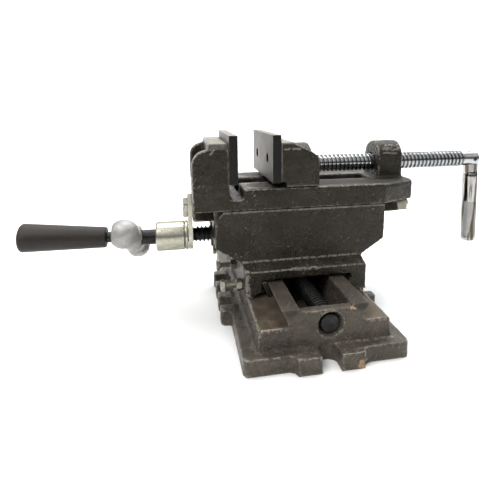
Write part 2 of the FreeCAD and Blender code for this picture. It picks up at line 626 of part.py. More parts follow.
def build_clamp_screw():
    start = d.hub_rear + 0.4
    groove = 2
    profile = [
        (d.journal - 1, -14), (d.journal, -13), (d.journal, groove - 2.4),
        (d.journal - 1.6, groove - 2.4), (d.journal - 1.6, groove + 2.4),
        (d.journal, groove + 2.4), (d.journal, start), (d.thread_radius, start),
        (d.thread_radius, d.thread_end - 1.5), (d.stem_radius, d.thread_end),
        (d.stem_radius, d.screw_end - 1.5), (d.stem_radius - 1.5, d.screw_end),
    ]
    rod = place(turned("clamp_rod", profile), z=d.clamp_z, rotation=ALONG_X)
    fork = box("clamp_fork_slot", (d.pin_x - 9, -d.bar_slot * 0.5, d.clamp_z - 12),
               (d.screw_end + 1, d.bar_slot * 0.5, d.clamp_z + 12))
    hole = cylinder("clamp_pin_hole", 2.5, 20, (d.pin_x, -10, d.clamp_z), ALONG_Y)
    node("clamp_screw", cut("clamp_screw_cut", rod, [fork, hole]))
    pin = cylinder("hinge_pin_rod", 2.5, 14, (d.pin_x, -7, d.clamp_z), ALONG_Y)
    node("clamp_hinge_pin", pin)

    # the bar is drawn about its hinge and hangs along -Z
    half = (d.bar_slot - 2 * d.gap) * 0.5
    drop = d.clamp_z - d.bar_low
    neck = d.clamp_z - d.shoulder
    grip = turned("bar_grip", [
        (d.bar_radius - 3.2, -drop), (d.bar_radius, 3.2 - drop), (d.bar_radius, -neck - 1),
        (d.bar_radius - 1, -neck),
    ])
    grip = rounded("bar_grip_round", grip, 1, lambda p, e: near(p.z, -drop))
    tongue = box("bar_tongue", (-d.tongue_half, -half, -neck - 6), (d.tongue_half, half, 0))
    eye = cylinder("bar_eye", d.eye_radius, 2 * half, (0, -half, 0), ALONG_Y)
    hole = cylinder("bar_eye_hole", 2.5 + d.fit, 20, (0, -10, 0), ALONG_Y)
    bar = cut("bar_cut", fuse("bar_fuse", [grip, tongue, eye]), [hole])
    tilt = FreeCAD.Rotation(FreeCAD.Vector(0, 1, 0), -BAR_TILT)
    node("handle_bar", place(bar, d.pin_x, 0, d.clamp_z, tilt))


# ---------------------------------------------------------------- leadscrews and cranks

def crank_frame(frame):
    return frame.multiply(FreeCAD.Rotation(FreeCAD.Vector(0, 0, 1), ARM_ANGLE))


def grip_seat(handle_z):
    """The grip's axis: it starts just under the ball's centre and leans up at its outer end."""
    turn = math.radians(ARM_ANGLE)
    down = FreeCAD.Vector(-math.sin(turn), -math.cos(turn), 0)
    level = FreeCAD.Vector(math.cos(turn), -math.sin(turn), 0)
    centre = FreeCAD.Vector(d.handle_arm.number, 0, handle_z.number)
    return FreeCAD.Placement(centre + down * d.spindle_drop.number,
                             FreeCAD.Rotation(level, -GRIP_LEAN))


def seated(thing, seat):
    thing.Placement = seat
    return thing


def build_drive(prefix, at, frame, inner_profile, bracket, screws):
    """A leadscrew with its bracket, collar, ball crank and revolving grip.

    Local Z points outwards along the screw and starts at the face of the casting,
    local X points along the crank's arm once the crank is turned by ARM_ANGLE.
    """
    def put(label, thing, rotation=frame):
        return node(f"{prefix}_{label}", place(thing, *at, rotation=rotation))

    arm = crank_frame(frame)
    rod = turned(f"{prefix}_rod", inner_profile + [
        (d.neck_radius, d.collar_end), (d.shaft_radius, d.collar_end),
        (d.shaft_radius, d.hub_face), (d.tail_radius, d.hub_face),
        (d.tail_radius, d.hub_centre + 8), (d.tail_radius - 1, d.hub_centre + 9),
    ])
    across = FreeCAD.Rotation(FreeCAD.Vector(1, 0, 0), 90)
    pin_hole = cylinder(f"{prefix}_tail_hole", 2, 40, (0, 20, d.hub_centre), across)
    put("leadscrew", cut(f"{prefix}_rod_cut", rod, [pin_hole]), arm)
    put("bracket", bracket)
    put("bracket_screws", screws)

    start = d.bracket_thick + d.gap
    collar = turned(f"{prefix}_collar_blank", [
        (d.collar_radius - 0.6, start), (d.collar_radius, start + 0.6),
        (d.collar_radius, start + 2.4), (d.collar_radius - 1, start + 2.6),
        (d.collar_radius - 1, start + 3.2), (d.collar_radius, start + 3.4),
        (d.collar_radius, d.collar_end - 1), (d.collar_radius - 1, d.collar_end),
    ])
    put("collar", cut(f"{prefix}_collar_cut", collar,
                      [cylinder(f"{prefix}_collar_bore", d.neck_radius, 40, (0, 0, 0))]))

    handle_z = d.hub_centre + d.handle_lean
    seat = grip_seat(handle_z)
    balls = [
        ball(f"{prefix}_hub", d.hub_ball, (0, 0, d.hub_centre)),
        ball(f"{prefix}_handle_ball", d.handle_ball, (d.handle_arm, 0, handle_z)),
        ball(f"{prefix}_weight", d.weight_ball, (-d.weight_arm, -d.weight_side, d.hub_centre)),
    ]
    for end, reach, aside, rise, radius in (
            ("handle", d.handle_arm.number, 0, d.handle_lean.number, 8.2),
            ("weight", -d.weight_arm.number, -d.weight_side.number, 0, 7.6)):
        rod_arm = doc.addObject("Part::Cone", f"{prefix}_{end}_arm")
        along = FreeCAD.Vector(reach, aside, rise)
        rod_arm.Placement = FreeCAD.Placement(
            FreeCAD.Vector(), FreeCAD.Rotation(FreeCAD.Vector(0, 0, 1), along))
        bind(rod_arm, Radius1=9, Radius2=radius, Placement__Base__z=d.hub_centre)
        rod_arm.Height = along.Length
        balls.append(rod_arm)
    crank = cut(f"{prefix}_crank_cut", fuse(f"{prefix}_crank_fuse", balls), [
        cylinder(f"{prefix}_hub_bore", d.tail_radius, 60, (0, 0, d.hub_face - 10)),
        box(f"{prefix}_hub_flat", (-9, -14, d.hub_face - 9), (9, 14, d.hub_face)),
        cylinder(f"{prefix}_pin_hole", 2, 60, (0, 30, d.hub_centre), across),
        seated(fuse(f"{prefix}_handle_seat", [
            box(f"{prefix}_handle_flat", (-14, -14, d.ball_flat), (14, 14, d.ball_flat + 9)),
            cylinder(f"{prefix}_spindle_hole", d.spindle, 30, (0, 0, -8)),
        ]), seat),
    ])
    put("ball_crank", crank, arm)
    pin = cylinder(f"{prefix}_crank_pin_rod", 2, 25.4, (0, -12.7, d.hub_centre), ALONG_Y)
    put("crank_pin", group(f"{prefix}_crank_pin_set", [pin]), arm)

    grip_start = d.ball_flat + d.grip_gap
    grip_end = grip_start + d.grip_long
    spindle = turned(f"{prefix}_spindle_rod", [
        (d.spindle, -6), (d.spindle, d.ball_flat), (d.spindle_neck, d.ball_flat),
        (d.spindle_neck, grip_start - d.gap), (d.spindle, grip_start - d.gap),
        (d.spindle, grip_end - 14),
    ])
    put("handle_spindle", group(f"{prefix}_spindle_set", [seated(spindle, seat)]), arm)
    grip = turned(f"{prefix}_grip_blank", [
        (d.grip_small - 0.8, grip_start), (d.grip_small, grip_start + 1.2),
        (d.grip_large, grip_end - 5.2), (d.grip_large - 1.2, grip_end - 3.9),
        (d.grip_large - 4, grip_end - 2.1), (d.grip_large - 8.4, grip_end - 0.7),
        (0.4, grip_end),
    ])
    bore = cylinder(f"{prefix}_grip_bore", d.spindle + 2 * d.fit, d.grip_long - 12,
                    (0, 0, grip_start - 1))
    hollow = seated(cut(f"{prefix}_grip_cut", grip, [bore]), seat)
    put("grip", group(f"{prefix}_grip_set", [hollow]), arm)


def build_bracket(prefix, plate, holes):
    """The bearing plate of a leadscrew and its two hexagon screws."""
    cuts = [cylinder(f"{prefix}_bracket_bore", d.neck_radius + d.fit, 10, (0, 0, -2))]
    screws = []
    for index, (x, y) in enumerate(holes):
        cuts.append(cylinder(f"{prefix}_bracket_hole_{index}", 3, 10, (x, y, -2)))
        screws.append(fuse(f"{prefix}_bracket_screw_{index}", [
            cylinder(f"{prefix}_bracket_shank_{index}", 3, 16, (x, y, -11)),
            hexagon(f"{prefix}_bracket_head_{index}", 5.8, 4.6, (x, y, d.bracket_thick))]))
    return (cut(f"{prefix}_bracket_cut", plate, cuts),
            group(f"{prefix}_bracket_screw_set", screws))


def build_drives():
    up = FreeCAD.Vector(0, 0, 1)
    leftward = FreeCAD.Rotation(FreeCAD.Vector(0, -1, 0), up, FreeCAD.Vector(-1, 0, 0), "XYZ")
    rearward = FreeCAD.Rotation(FreeCAD.Vector(-1, 0, 0), up, FreeCAD.Vector(0, 1, 0), "XYZ")

    lift = 105.6 - d.upper_z
    plate = fuse("upper_bracket_fuse", [
        box("upper_bracket_top", (-26, lift - 10.5, 0), (26, lift + 8, d.bracket_thick)),
        box("upper_bracket_web", (-14.5, 0, 0), (14.5, lift, d.bracket_thick)),
        cylinder("upper_bracket_eye", 14.5, d.bracket_thick)])
    bracket, screws = build_bracket("upper", plate, [(-18, lift), (18, lift)])
    inner = [(d.lead_radius - 1.5, -161), (d.lead_radius, -159.5), (d.lead_radius, -0.4),
             (d.neck_radius, -0.4)]
    build_drive("upper", (-d.bed_left, 0, d.upper_z), leftward, inner, bracket, screws)

    plate = fuse("lower_bracket_fuse", [
        box("lower_bracket_bar", (-d.bracket_reach, -7, 0), (d.bracket_reach, 7, d.bracket_thick)),
        cylinder("lower_bracket_eye", 14.5, d.bracket_thick),
        cylinder("lower_bracket_end_0", 7, d.bracket_thick, (-d.bracket_reach, 0, 0)),
        cylinder("lower_bracket_end_1", 7, d.bracket_thick, (d.bracket_reach, 0, 0))])
    bracket, screws = build_bracket("lower", plate, [(-d.bracket_reach, 0), (d.bracket_reach, 0)])
    wall = d.end_wall + 0.6
    far = 2 * d.block_half_y
    inner = [(7.4, 2.6 - far), (8.2, 3.4 - far), (8.2, d.end_wall - far), (d.lead_radius, d.end_wall - far),
             (d.lead_radius, -wall), (8.2, -wall), (8.2, -0.4), (d.neck_radius, -0.4)]
    build_drive("lower", (d.lower_x, d.block_half_y, d.lower_z), rearward, inner, bracket, screws)


# ---------------------------------------------------------------- the whole vise

build_base()
build_saddle()
build_gibs()
build_nuts()
build_bed()
build_jaw_plate("fixed_jaw_plate", -d.jaw_face, 1)
build_end_cap()
build_movable_jaw()
build_jaw_plate("movable_jaw_plate", -d.plate_face, -1)
build_clamp_screw()
build_drives()
doc.recompute()

for thing in doc.Objects:
    if "Invalid" in thing.State or "Error" in thing.State:
        raise ValueError(f"{thing.Name}: {thing.State}")
for thing in nodes:
    shape = thing.Shape
    if shape.isNull() or not shape.isValid() or not shape.Solids:
        raise ValueError(f"{thing.Label} has no valid solid")
    shape.exportStep(f"parts/{thing.Label}.step")
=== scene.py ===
import json
import math

import bmesh
import bpy
import numpy as np
from mathutils import Matrix, Vector


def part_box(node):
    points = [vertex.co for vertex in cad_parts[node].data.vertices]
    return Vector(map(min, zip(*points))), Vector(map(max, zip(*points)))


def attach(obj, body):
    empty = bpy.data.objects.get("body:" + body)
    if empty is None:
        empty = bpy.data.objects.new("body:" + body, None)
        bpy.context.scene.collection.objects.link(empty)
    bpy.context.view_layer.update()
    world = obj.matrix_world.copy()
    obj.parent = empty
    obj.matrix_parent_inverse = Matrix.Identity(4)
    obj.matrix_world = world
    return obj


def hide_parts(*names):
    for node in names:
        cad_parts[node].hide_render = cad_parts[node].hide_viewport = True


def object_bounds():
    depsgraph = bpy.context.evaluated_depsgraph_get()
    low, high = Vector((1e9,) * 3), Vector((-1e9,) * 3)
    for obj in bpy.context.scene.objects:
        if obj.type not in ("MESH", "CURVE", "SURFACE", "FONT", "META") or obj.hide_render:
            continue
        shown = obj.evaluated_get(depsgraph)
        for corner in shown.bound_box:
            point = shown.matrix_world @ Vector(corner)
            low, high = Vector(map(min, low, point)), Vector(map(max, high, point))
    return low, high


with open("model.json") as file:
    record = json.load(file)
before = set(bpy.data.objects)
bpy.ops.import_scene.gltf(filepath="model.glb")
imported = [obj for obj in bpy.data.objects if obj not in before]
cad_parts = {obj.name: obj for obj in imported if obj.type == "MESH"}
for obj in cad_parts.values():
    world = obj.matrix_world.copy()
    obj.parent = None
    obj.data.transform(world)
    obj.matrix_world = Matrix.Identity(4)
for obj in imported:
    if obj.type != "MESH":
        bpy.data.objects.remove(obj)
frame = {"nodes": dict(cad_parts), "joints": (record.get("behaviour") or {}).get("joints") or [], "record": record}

# Looks of the cross-slide drill-press vise.  Metres, in the part's own frame.

cad_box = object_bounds()
NODES = frame["nodes"]
BODY_OF = {n: b for b, ns in frame["record"]["behaviour"]["bodies"].items() for n in ns}
SLOT_OF = {s["node"]: s["material_slot"] for s in frame["record"]["subparts"]}
MM = 0.001
FIT_ROOM = 0.0004       # taken off the slanting flanks, so that the slides stay clear of each other
WELD = 1e-7             # vertices of the CAD meshes closer than this are one
CAST_VOXEL = 0.0013     # mesh size of the large castings
CAST_LUMP = 0.00016     # scale of the unevenness in a casting's skin
CAST_ROUNDS = 3         # rounds of smoothing that soften a casting's edges
LEAD_RADIUS = 0.008     # leadscrew threads
LEAD_ROOT = 0.0064
LEAD_PITCH = 0.004
CLAMP_PITCH = 0.0045    # clamp screw thread
CLAMP_DEPTH = 0.0016


# ---------------------------------------------------------------- materials

class Look:
    """A Principled material with short names for the nodes that feed it."""

    def __init__(self, name, **fixed):
        self.material = bpy.data.materials.new(name)
        self.material.use_nodes = True
        self.tree = self.material.node_tree
        self.tree.nodes.clear()
        self.shader = self.tree.nodes.new("ShaderNodeBsdfPrincipled")
        end = self.tree.nodes.new("ShaderNodeOutputMaterial")
        self.tree.links.new(self.shader.outputs[0], end.inputs["Surface"])
        self.at = self.tree.nodes.new("ShaderNodeTexCoord").outputs["Object"]
        for key, value in fixed.items():
            self.shader.inputs[key.replace("_", " ")].default_value = value

    def feed(self, socket, value):
        if isinstance(value, bpy.types.NodeSocket):
            self.tree.links.new(value, socket)
        elif isinstance(value, (tuple, list)) and socket.type == "RGBA":
            socket.default_value = (*value[:3], 1)
        else:
            socket.default_value = value

    def set(self, name, value):
        self.feed(self.shader.inputs[name], value)

    def math(self, operation, a, b=0.0):
        node = self.tree.nodes.new("ShaderNodeMath")
        node.operation = operation
        self.feed(node.inputs[0], a)
        self.feed(node.inputs[1], b)
        return node.outputs[0]

    def stretched(self, scale, turn=(0, 0, 0)):
        """Coordinates turned and then scaled, so the pattern is drawn out along a turned direction."""
        node = self.tree.nodes.new("ShaderNodeMapping")
        node.vector_type = "TEXTURE"
        self.feed(node.inputs["Vector"], self.at)
        node.inputs["Rotation"].default_value = turn
        node.inputs["Scale"].default_value = [1 / part for part in scale]
        return node.outputs[0]

    def noise(self, size, detail=4.0, rough=0.55, where=None, twist=0.0):
        node = self.tree.nodes.new("ShaderNodeTexNoise")
        self.feed(node.inputs["Vector"], where or self.at)
        node.inputs["Scale"].default_value = 1 / size
        node.inputs["Detail"].default_value = detail
        node.inputs["Roughness"].default_value = rough
        node.inputs["Distortion"].default_value = twist
        return node.outputs["Fac"]

    def cells(self, size):
        node = self.tree.nodes.new("ShaderNodeTexVoronoi")
        self.feed(node.inputs["Vector"], self.at)
        node.inputs["Scale"].default_value = 1 / size
        return node.outputs["Distance"]

    def between(self, value, low, high, to_low=0.0, to_high=1.0):
        node = self.tree.nodes.new("ShaderNodeMapRange")
        node.interpolation_type = "SMOOTHSTEP"
        for name, number in (("From Min", low), ("From Max", high),
                             ("To Min", to_low), ("To Max", to_high)):
            node.inputs[name].default_value = number
        self.feed(node.inputs["Value"], value)
        return node.outputs["Result"]

    def blend(self, kind, share, a, b):
        node = self.tree.nodes.new("ShaderNodeMix")
        node.data_type = kind
        for name, value in (("Factor", share), ("A", a), ("B", b)):
            self.feed(node.inputs[name], value)
        return node.outputs["Result"]

    def mix(self, share, a, b):
        """One colour going over into another."""
        return self.blend("RGBA", share, a, b)

    def level(self, share, a, b):
        """One number going over into another."""
        return self.blend("FLOAT", share, a, b)

    def painted(self, name):
        node = self.tree.nodes.new("ShaderNodeAttribute")
        node.attribute_name = name
        return node.outputs["Fac"]

    def bump(self, height, depth, strength=1.0, under=None):
        node = self.tree.nodes.new("ShaderNodeBump")
        node.inputs["Distance"].default_value = depth
        self.feed(node.inputs["Strength"], strength)
        self.feed(node.inputs["Height"], height)
        if under is not None:
            self.feed(node.inputs["Normal"], under)
        return node.outputs["Normal"]

    def edge(self, radius, low, high):
        """Near an edge the bevelled normal leaves the true one; this gives how far, 0 to 1."""
        bevel = self.tree.nodes.new("ShaderNodeBevel")
        bevel.samples = 6
        bevel.inputs["Radius"].default_value = radius
        true = self.tree.nodes.new("ShaderNodeNewGeometry").outputs["Normal"]
        dot = self.tree.nodes.new("ShaderNodeVectorMath")
        dot.operation = "DOT_PRODUCT"
        self.feed(dot.inputs[0], bevel.outputs[0])
        self.feed(dot.inputs[1], true)
        return self.between(self.math("SUBTRACT", 1.0, dot.outputs["Value"]), low, high), bevel.outputs[0]


def casting(name, dark, light, bare, rust=0.0):
    """Thin dark paint over a gritty sand casting, with bare machined ways, edges lightened partly as wear and
    partly as painted highlights, and painted shade in its hollows.
    """
    look = Look(name)
    wear_and_glint = look.painted("wear_and_glint")
    hollow_shade = look.painted("hollow_shade")
    cut = look.painted("machined")
    raw = look.painted("raw")
    cloud = look.noise(0.03, 3, 0.6)
    lumps = look.noise(0.0042, 4, 0.6)
    grit = look.noise(0.0016, 3, 0.6)
    paint = look.mix(look.between(cloud, 0.36, 0.66), dark, light)
    paint = look.mix(look.between(lumps, 0.5, 0.72, 0, 0.5), paint, tuple(1.7 * c for c in light))
    paint = look.mix(look.between(grit, 0.5, 0.32, 0, 0.45), paint, tuple(0.35 * c for c in dark))
    specks = look.math("MULTIPLY", look.between(look.noise(0.0011, 2, 0.5), 0.655, 0.71),
                       look.between(look.noise(0.02, 3, 0.6), 0.4, 0.6))
    paint = look.mix(look.math("MULTIPLY", specks, 0.8), paint, (0.23, 0.22, 0.2))
    scratch = 0.0
    for turn, size in (((0.3, -0.95, 0.2), 0.0013),
                       ((-0.4, 0.75, 0.5), 0.0015),
                       ((0.2, -0.35, 1.2), 0.0012)):
        line = look.noise(size, 1.5, 0.5, look.stretched((0.16, 1, 1), turn))
        patch = look.between(look.noise(0.026 + 6 * size, 2, 0.5), 0.5, 0.6)
        mark = look.math("MULTIPLY", look.between(line, 0.68, 0.74), patch)
        scratch = look.math("MAXIMUM", scratch, mark)
    paint = look.mix(look.math("MULTIPLY", scratch, 0.65), paint, (0.2, 0.19, 0.17))

    tool = look.noise(0.0009, 3, 0.6, look.stretched((1, 0.03, 1)))
    stain = look.noise(0.012, 4, 0.6)
    steel = look.mix(look.between(stain, 0.35, 0.68), bare, tuple(1.8 * c for c in bare))
    steel = look.mix(look.between(tool, 0.4, 0.7, 0, 0.35), steel, tuple(2.4 * c for c in bare))
    if rust:
        tint = look.between(look.noise(0.016, 4, 0.65, twist=0.6), 0.55, 0.72, 0, rust)
        steel = look.mix(tint, steel, (0.11, 0.06, 0.03))
        paint = look.mix(look.math("MULTIPLY", tint, 0.35), paint, (0.1, 0.064, 0.04))

    colour = look.mix(cut, paint, steel)
    # Lighter on convex edges and along listed lines: partly worn paint, partly painted highlights (glints)
    ragged = look.math("MULTIPLY", wear_and_glint, look.between(look.noise(0.0026, 4, 0.65), 0.34, 0.6))
    worn = look.between(ragged, 0.4, 0.74)
    colour = look.mix(look.math("MULTIPLY", worn, 0.68), colour, (0.23, 0.212, 0.185))
    # painted shade: near-black in the hollows, creases and shaded stretches marked on the mesh
    colour = look.mix(look.between(hollow_shade, 0.25, 0.9, 0, 0.85), colour, (0.006, 0.0055, 0.005))
    broken = look.math("MULTIPLY", raw, look.between(grit, 0.2, 0.55))
    colour = look.mix(look.between(broken, 0.2, 0.6, 0, 0.9), colour, (0.36, 0.24, 0.14))
    look.set("Base Color", colour)
    look.set("Metallic", look.math("MAXIMUM", look.math("MULTIPLY", cut, 0.5),
                                   look.math("MULTIPLY", worn, 0.5)))
    rough = look.level(look.between(lumps, 0.3, 0.7), 0.24, 0.46)
    rough = look.level(cut, rough, look.level(look.between(stain, 0.3, 0.7), 0.32, 0.5))
    rough = look.level(look.between(hollow_shade, 0.25, 0.9), rough, 0.9)
    look.set("Roughness", look.level(worn, rough, 0.32))
    look.set("Specular IOR Level", look.level(specks, 0.3, 0.8))
    look.set("Specular Tint", (1.0, 0.93, 0.8))
    soft = look.level(cut, 1.0, 0.1)
    normal = look.bump(lumps, 0.0012, look.math("MULTIPLY", soft, 0.6))
    normal = look.bump(grit, 0.0006, look.math("MULTIPLY", soft, 0.85), normal)
    normal = look.bump(tool, 0.00005, look.math("MULTIPLY", cut, 0.6), normal)
    normal = look.bump(scratch, -0.0002, 0.5, normal)
    look.set("Normal", normal)
    return look.material


def plated(name, colour, second, rough, spangle=0.3, grime=0.25, valley=0.85):
    """Chrome or zinc plate: fine clouding, hair scratches, a little grime and painted shade in its hollows."""
    look = Look(name, Metallic=1.0)
    look.set("Specular Tint", (0.4, 0.4, 0.4))
    cloud = look.noise(0.006, 4, 0.6)
    fine = look.noise(0.0011, 4, 0.65)
    tone = look.mix(look.between(cloud, 0.35, 0.68, 0, spangle), colour, second)
    dirt = look.math("MULTIPLY", look.between(look.noise(0.0035, 5, 0.7), 0.56, 0.74), grime)
    # painted shade in thread roots, grooves and other marked hollows
    hollow_shade = look.between(look.painted("hollow_shade"), 0.2, 0.9, 0, valley)
    tone = look.mix(look.math("MAXIMUM", dirt, hollow_shade), tone, (0.03, 0.028, 0.025))
    look.set("Base Color", tone)
    spread = look.level(look.between(fine, 0.3, 0.72), rough * 0.75, rough * 1.5)
    look.set("Roughness", look.math("ADD", spread, look.math("MULTIPLY", dirt, 0.5)))
    hair = look.noise(0.0006, 2, 0.5, look.stretched((0.05, 1, 1), (0.2, 0.5, 0.9)))
    normal = look.bump(cloud, 0.0003, 0.12)
    look.set("Normal", look.bump(look.math("ADD", fine, hair), 0.00008, 0.22, normal))
    return look.material


def handled_chrome(name):
    """Chrome with long dark stripes down the bar, painted on as reflections."""
    look = Look(name, Metallic=1.0)
    look.set("Specular Tint", (0.35, 0.34, 0.33))
    painted_reflection_band = look.noise(0.0034, 3, 0.5, look.stretched((1, 1, 0.07)))
    cloud = look.noise(0.007, 4, 0.6)
    fine = look.noise(0.0011, 4, 0.65)
    tone = look.mix(look.between(cloud, 0.35, 0.68), (0.5, 0.49, 0.47), (0.36, 0.36, 0.355))
    # painted reflection: dark brown stripes along the bar
    tone = look.mix(look.between(painted_reflection_band, 0.46, 0.6), tone, (0.12, 0.088, 0.064))
    # painted shade in the knurl valleys
    tone = look.mix(look.between(look.painted("hollow_shade"), 0.2, 0.9, 0, 0.8), tone, (0.05, 0.046, 0.042))
    look.set("Base Color", tone)
    look.set("Roughness", look.level(look.between(fine, 0.3, 0.72), 0.1, 0.2))
    normal = look.bump(painted_reflection_band, 0.0004, 0.3)
    look.set("Normal", look.bump(fine, 0.00008, 0.2, normal))
    return look.material


def dark_steel(name, colour):
    """Black-oxide steel with a film of oil."""
    rough = 0.36
    look = Look(name, Metallic=0.85)
    cloud = look.noise(0.008, 4, 0.6)
    fine = look.noise(0.0012, 4, 0.65)
    edge, rounded = look.edge(0.0006, 0.05, 0.3)
    tone = look.mix(look.between(cloud, 0.35, 0.7), colour, tuple(2.4 * c for c in colour))
    worn = look.math("MULTIPLY", edge, look.between(fine, 0.35, 0.65))
    tone = look.mix(look.math("MULTIPLY", worn, 0.55), tone, (0.3, 0.29, 0.28))
    look.set("Base Color", tone)
    look.set("Roughness", look.level(look.between(fine, 0.3, 0.7), rough * 0.8, rough * 1.35))
    look.set("Normal", look.bump(fine, 0.00012, 0.35, rounded))
    return look.material


def ground_steel(name, face, end, rough=0.42):
    """Hardened jaw steel: long sides ground across, ends left with dark scale."""
    look = Look(name, Metallic=0.7)
    split = look.tree.nodes.new("ShaderNodeSeparateXYZ")
    look.feed(split.inputs[0], look.tree.nodes.new("ShaderNodeNewGeometry").outputs["True Normal"])
    ends = look.between(look.math("ABSOLUTE", split.outputs["Y"]), 0.4, 0.8)
    lines = look.noise(0.0007, 3, 0.6, look.stretched((1, 1, 0.03)))
    cloud = look.noise(0.014, 4, 0.6)
    fine = look.noise(0.0014, 4, 0.7)
    tone = look.mix(look.between(cloud, 0.34, 0.68), face, tuple(1.35 * c for c in face))
    tone = look.mix(look.between(lines, 0.42, 0.7, 0, 0.4), tone, tuple(1.7 * c for c in face))
    tone = look.mix(look.between(look.noise(0.009, 5, 0.7, twist=0.8), 0.56, 0.74, 0, 0.55),
                    tone, (0.1, 0.062, 0.04))
    tone = look.mix(ends, tone, end)
    edge, rounded = look.edge(0.0008, 0.04, 0.3)
    tone = look.mix(look.math("MULTIPLY", edge, look.between(fine, 0.35, 0.6, 0, 0.65)), tone,
                    (0.33, 0.31, 0.28))
    look.set("Base Color", tone)
    look.set("Roughness", look.level(look.between(fine, 0.3, 0.7), rough, rough * 1.4))
    look.set("Normal", look.bump(look.math("ADD", lines, fine), 0.0001, 0.35, rounded))
    return look.material


def cast_aluminium(name):
    """Tumbled aluminium casting with a fine orange skin and faint stains."""
    look = Look(name, Metallic=0.8)
    skin = look.noise(0.0018, 4, 0.62)
    cloud = look.noise(0.011, 4, 0.6)
    pits = look.between(look.cells(0.0034), 0.09, 0.02)
    tone = look.mix(look.between(cloud, 0.35, 0.68), (0.33, 0.322, 0.315), (0.46, 0.447, 0.43))
    tone = look.mix(look.between(look.noise(0.006, 5, 0.7), 0.58, 0.76, 0, 0.5), tone, (0.2, 0.17, 0.15))
    # painted shade in the hollows
    tone = look.mix(look.between(look.painted("hollow_shade"), 0.2, 0.9, 0, 0.7), tone, (0.07, 0.065, 0.06))
    look.set("Base Color", look.mix(look.math("MULTIPLY", pits, 0.35), tone, (0.1, 0.09, 0.085)))
    look.set("Roughness", look.level(look.between(skin, 0.3, 0.7), 0.52, 0.7))
    normal = look.bump(skin, 0.0006, 0.5)
    look.set("Normal", look.bump(pits, -0.0002, 0.4, normal))
    return look.material


def moulded(name):
    """Satin black plastic with scuffs and a faint flow pattern."""
    look = Look(name)
    scuff = look.between(look.noise(0.004, 5, 0.7, look.stretched((0.35, 1, 1))), 0.55, 0.76)
    flow = look.noise(0.02, 3, 0.5, look.stretched((0.25, 1, 1)), 0.4)
    fine = look.noise(0.0007, 3, 0.6)
    tone = look.mix(look.between(flow, 0.35, 0.7), (0.0165, 0.0135, 0.0115), (0.034, 0.028, 0.0235))
    look.set("Base Color", look.mix(look.math("MULTIPLY", scuff, 0.4), tone, (0.064, 0.056, 0.049)))
    look.set("Roughness", look.level(scuff, look.level(look.between(flow, 0.3, 0.7), 0.48, 0.56), 0.66))
    look.set("Specular IOR Level", 0.26)
    look.set("Normal", look.bump(look.math("ADD", fine, scuff), 0.00006, 0.4))
    return look.material


LOOKS = {
    "base_iron": casting("base_iron", (0.040, 0.0345, 0.0275), (0.074, 0.0635, 0.0505),
                         (0.072, 0.0575, 0.042), 0.6),
    "cast_paint": casting("cast_paint", (0.0096, 0.0082, 0.0060), (0.0205, 0.0176, 0.0132),
                          (0.085, 0.08, 0.07), 0.35),
    "jaw_steel": ground_steel("jaw_steel", (0.148, 0.137, 0.124), (0.0125, 0.012, 0.0115)),
    "bright_steel": ground_steel("bright_steel", (0.3, 0.29, 0.28), (0.05, 0.046, 0.042), 0.36),
    "black_steel": dark_steel("black_steel", (0.014, 0.014, 0.0135)),
    "zinc": plated("zinc", (0.47, 0.455, 0.375), (0.36, 0.35, 0.28), 0.3, 0.7, 0.25, 0.45),
    "chrome_plate": plated("chrome_plate", (0.47, 0.48, 0.49), (0.31, 0.32, 0.33), 0.1, 0.7, 0.2, 0.45),
    "handled_chrome": handled_chrome("handled_chrome"),
    "bronze": plated("bronze", (0.12, 0.085, 0.05), (0.07, 0.05, 0.03), 0.36, 0.8, 0.5),
    "ball_aluminium": cast_aluminium("ball_aluminium"),
    "grip_plastic": moulded("grip_plastic"),
}


# ---------------------------------------------------------------- mesh helpers

def new_object(name, verts, faces):
    mesh = bpy.data.meshes.new(name)
    mesh.from_pydata(verts, [], faces)
    mesh.validate()
    mesh.update()
    return show(name, mesh)


def show(name, mesh, sharp=None):
    mesh.shade_smooth()
    if sharp is not None:
        mesh.set_sharp_from_angle(angle=math.radians(sharp))
    ob = bpy.data.objects.new(name, mesh)
    bpy.context.scene.collection.objects.link(ob)
    return ob


def stand_for(ob, *nodes):
    """The piece takes the place, the body and the finish of these nodes."""
    ob.data.materials.clear()
    ob.data.materials.append(LOOKS[SLOT_OF[nodes[0]]])
    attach(ob, BODY_OF[nodes[0]])
    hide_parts(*nodes)
    return ob


def attribute(mesh, name, values):
    made = mesh.attributes.new(name, "FLOAT", "POINT")
    made.data.foreach_set("value", np.asarray(values, np.float32))


def coords(mesh):
    out = np.empty(len(mesh.vertices) * 3)
    mesh.vertices.foreach_get("co", out)
    return out.reshape(-1, 3)


def normals(mesh):
    out = np.empty(len(mesh.vertices) * 3)
    mesh.vertices.foreach_get("normal", out)
    return out.reshape(-1, 3)


class Web:
    """Averages over a mesh's neighbouring vertices."""

    def __init__(self, mesh):
        pairs = np.empty(len(mesh.edges) * 2, np.int64)
        mesh.edges.foreach_get("vertices", pairs)
        self.a, self.b = pairs.reshape(-1, 2).T
        self.size = len(mesh.vertices)
        self.count = np.maximum(np.bincount(self.a, minlength=self.size)
                                + np.bincount(self.b, minlength=self.size), 1)

    def mean(self, values):
        values = np.asarray(values, float)
        flat = values.reshape(self.size, -1)
        columns = [np.bincount(self.a, flat[self.b, i], self.size)
                   + np.bincount(self.b, flat[self.a, i], self.size) for i in range(flat.shape[1])]
        return (np.stack(columns, 1) / self.count[:, None]).reshape(values.shape)

    def smooth(self, values, rounds):
        """Moves each value halfway to its neighbours' mean, round after round."""
        for _ in range(rounds):
            values = values + 0.5 * (self.mean(values) - values)
        return values


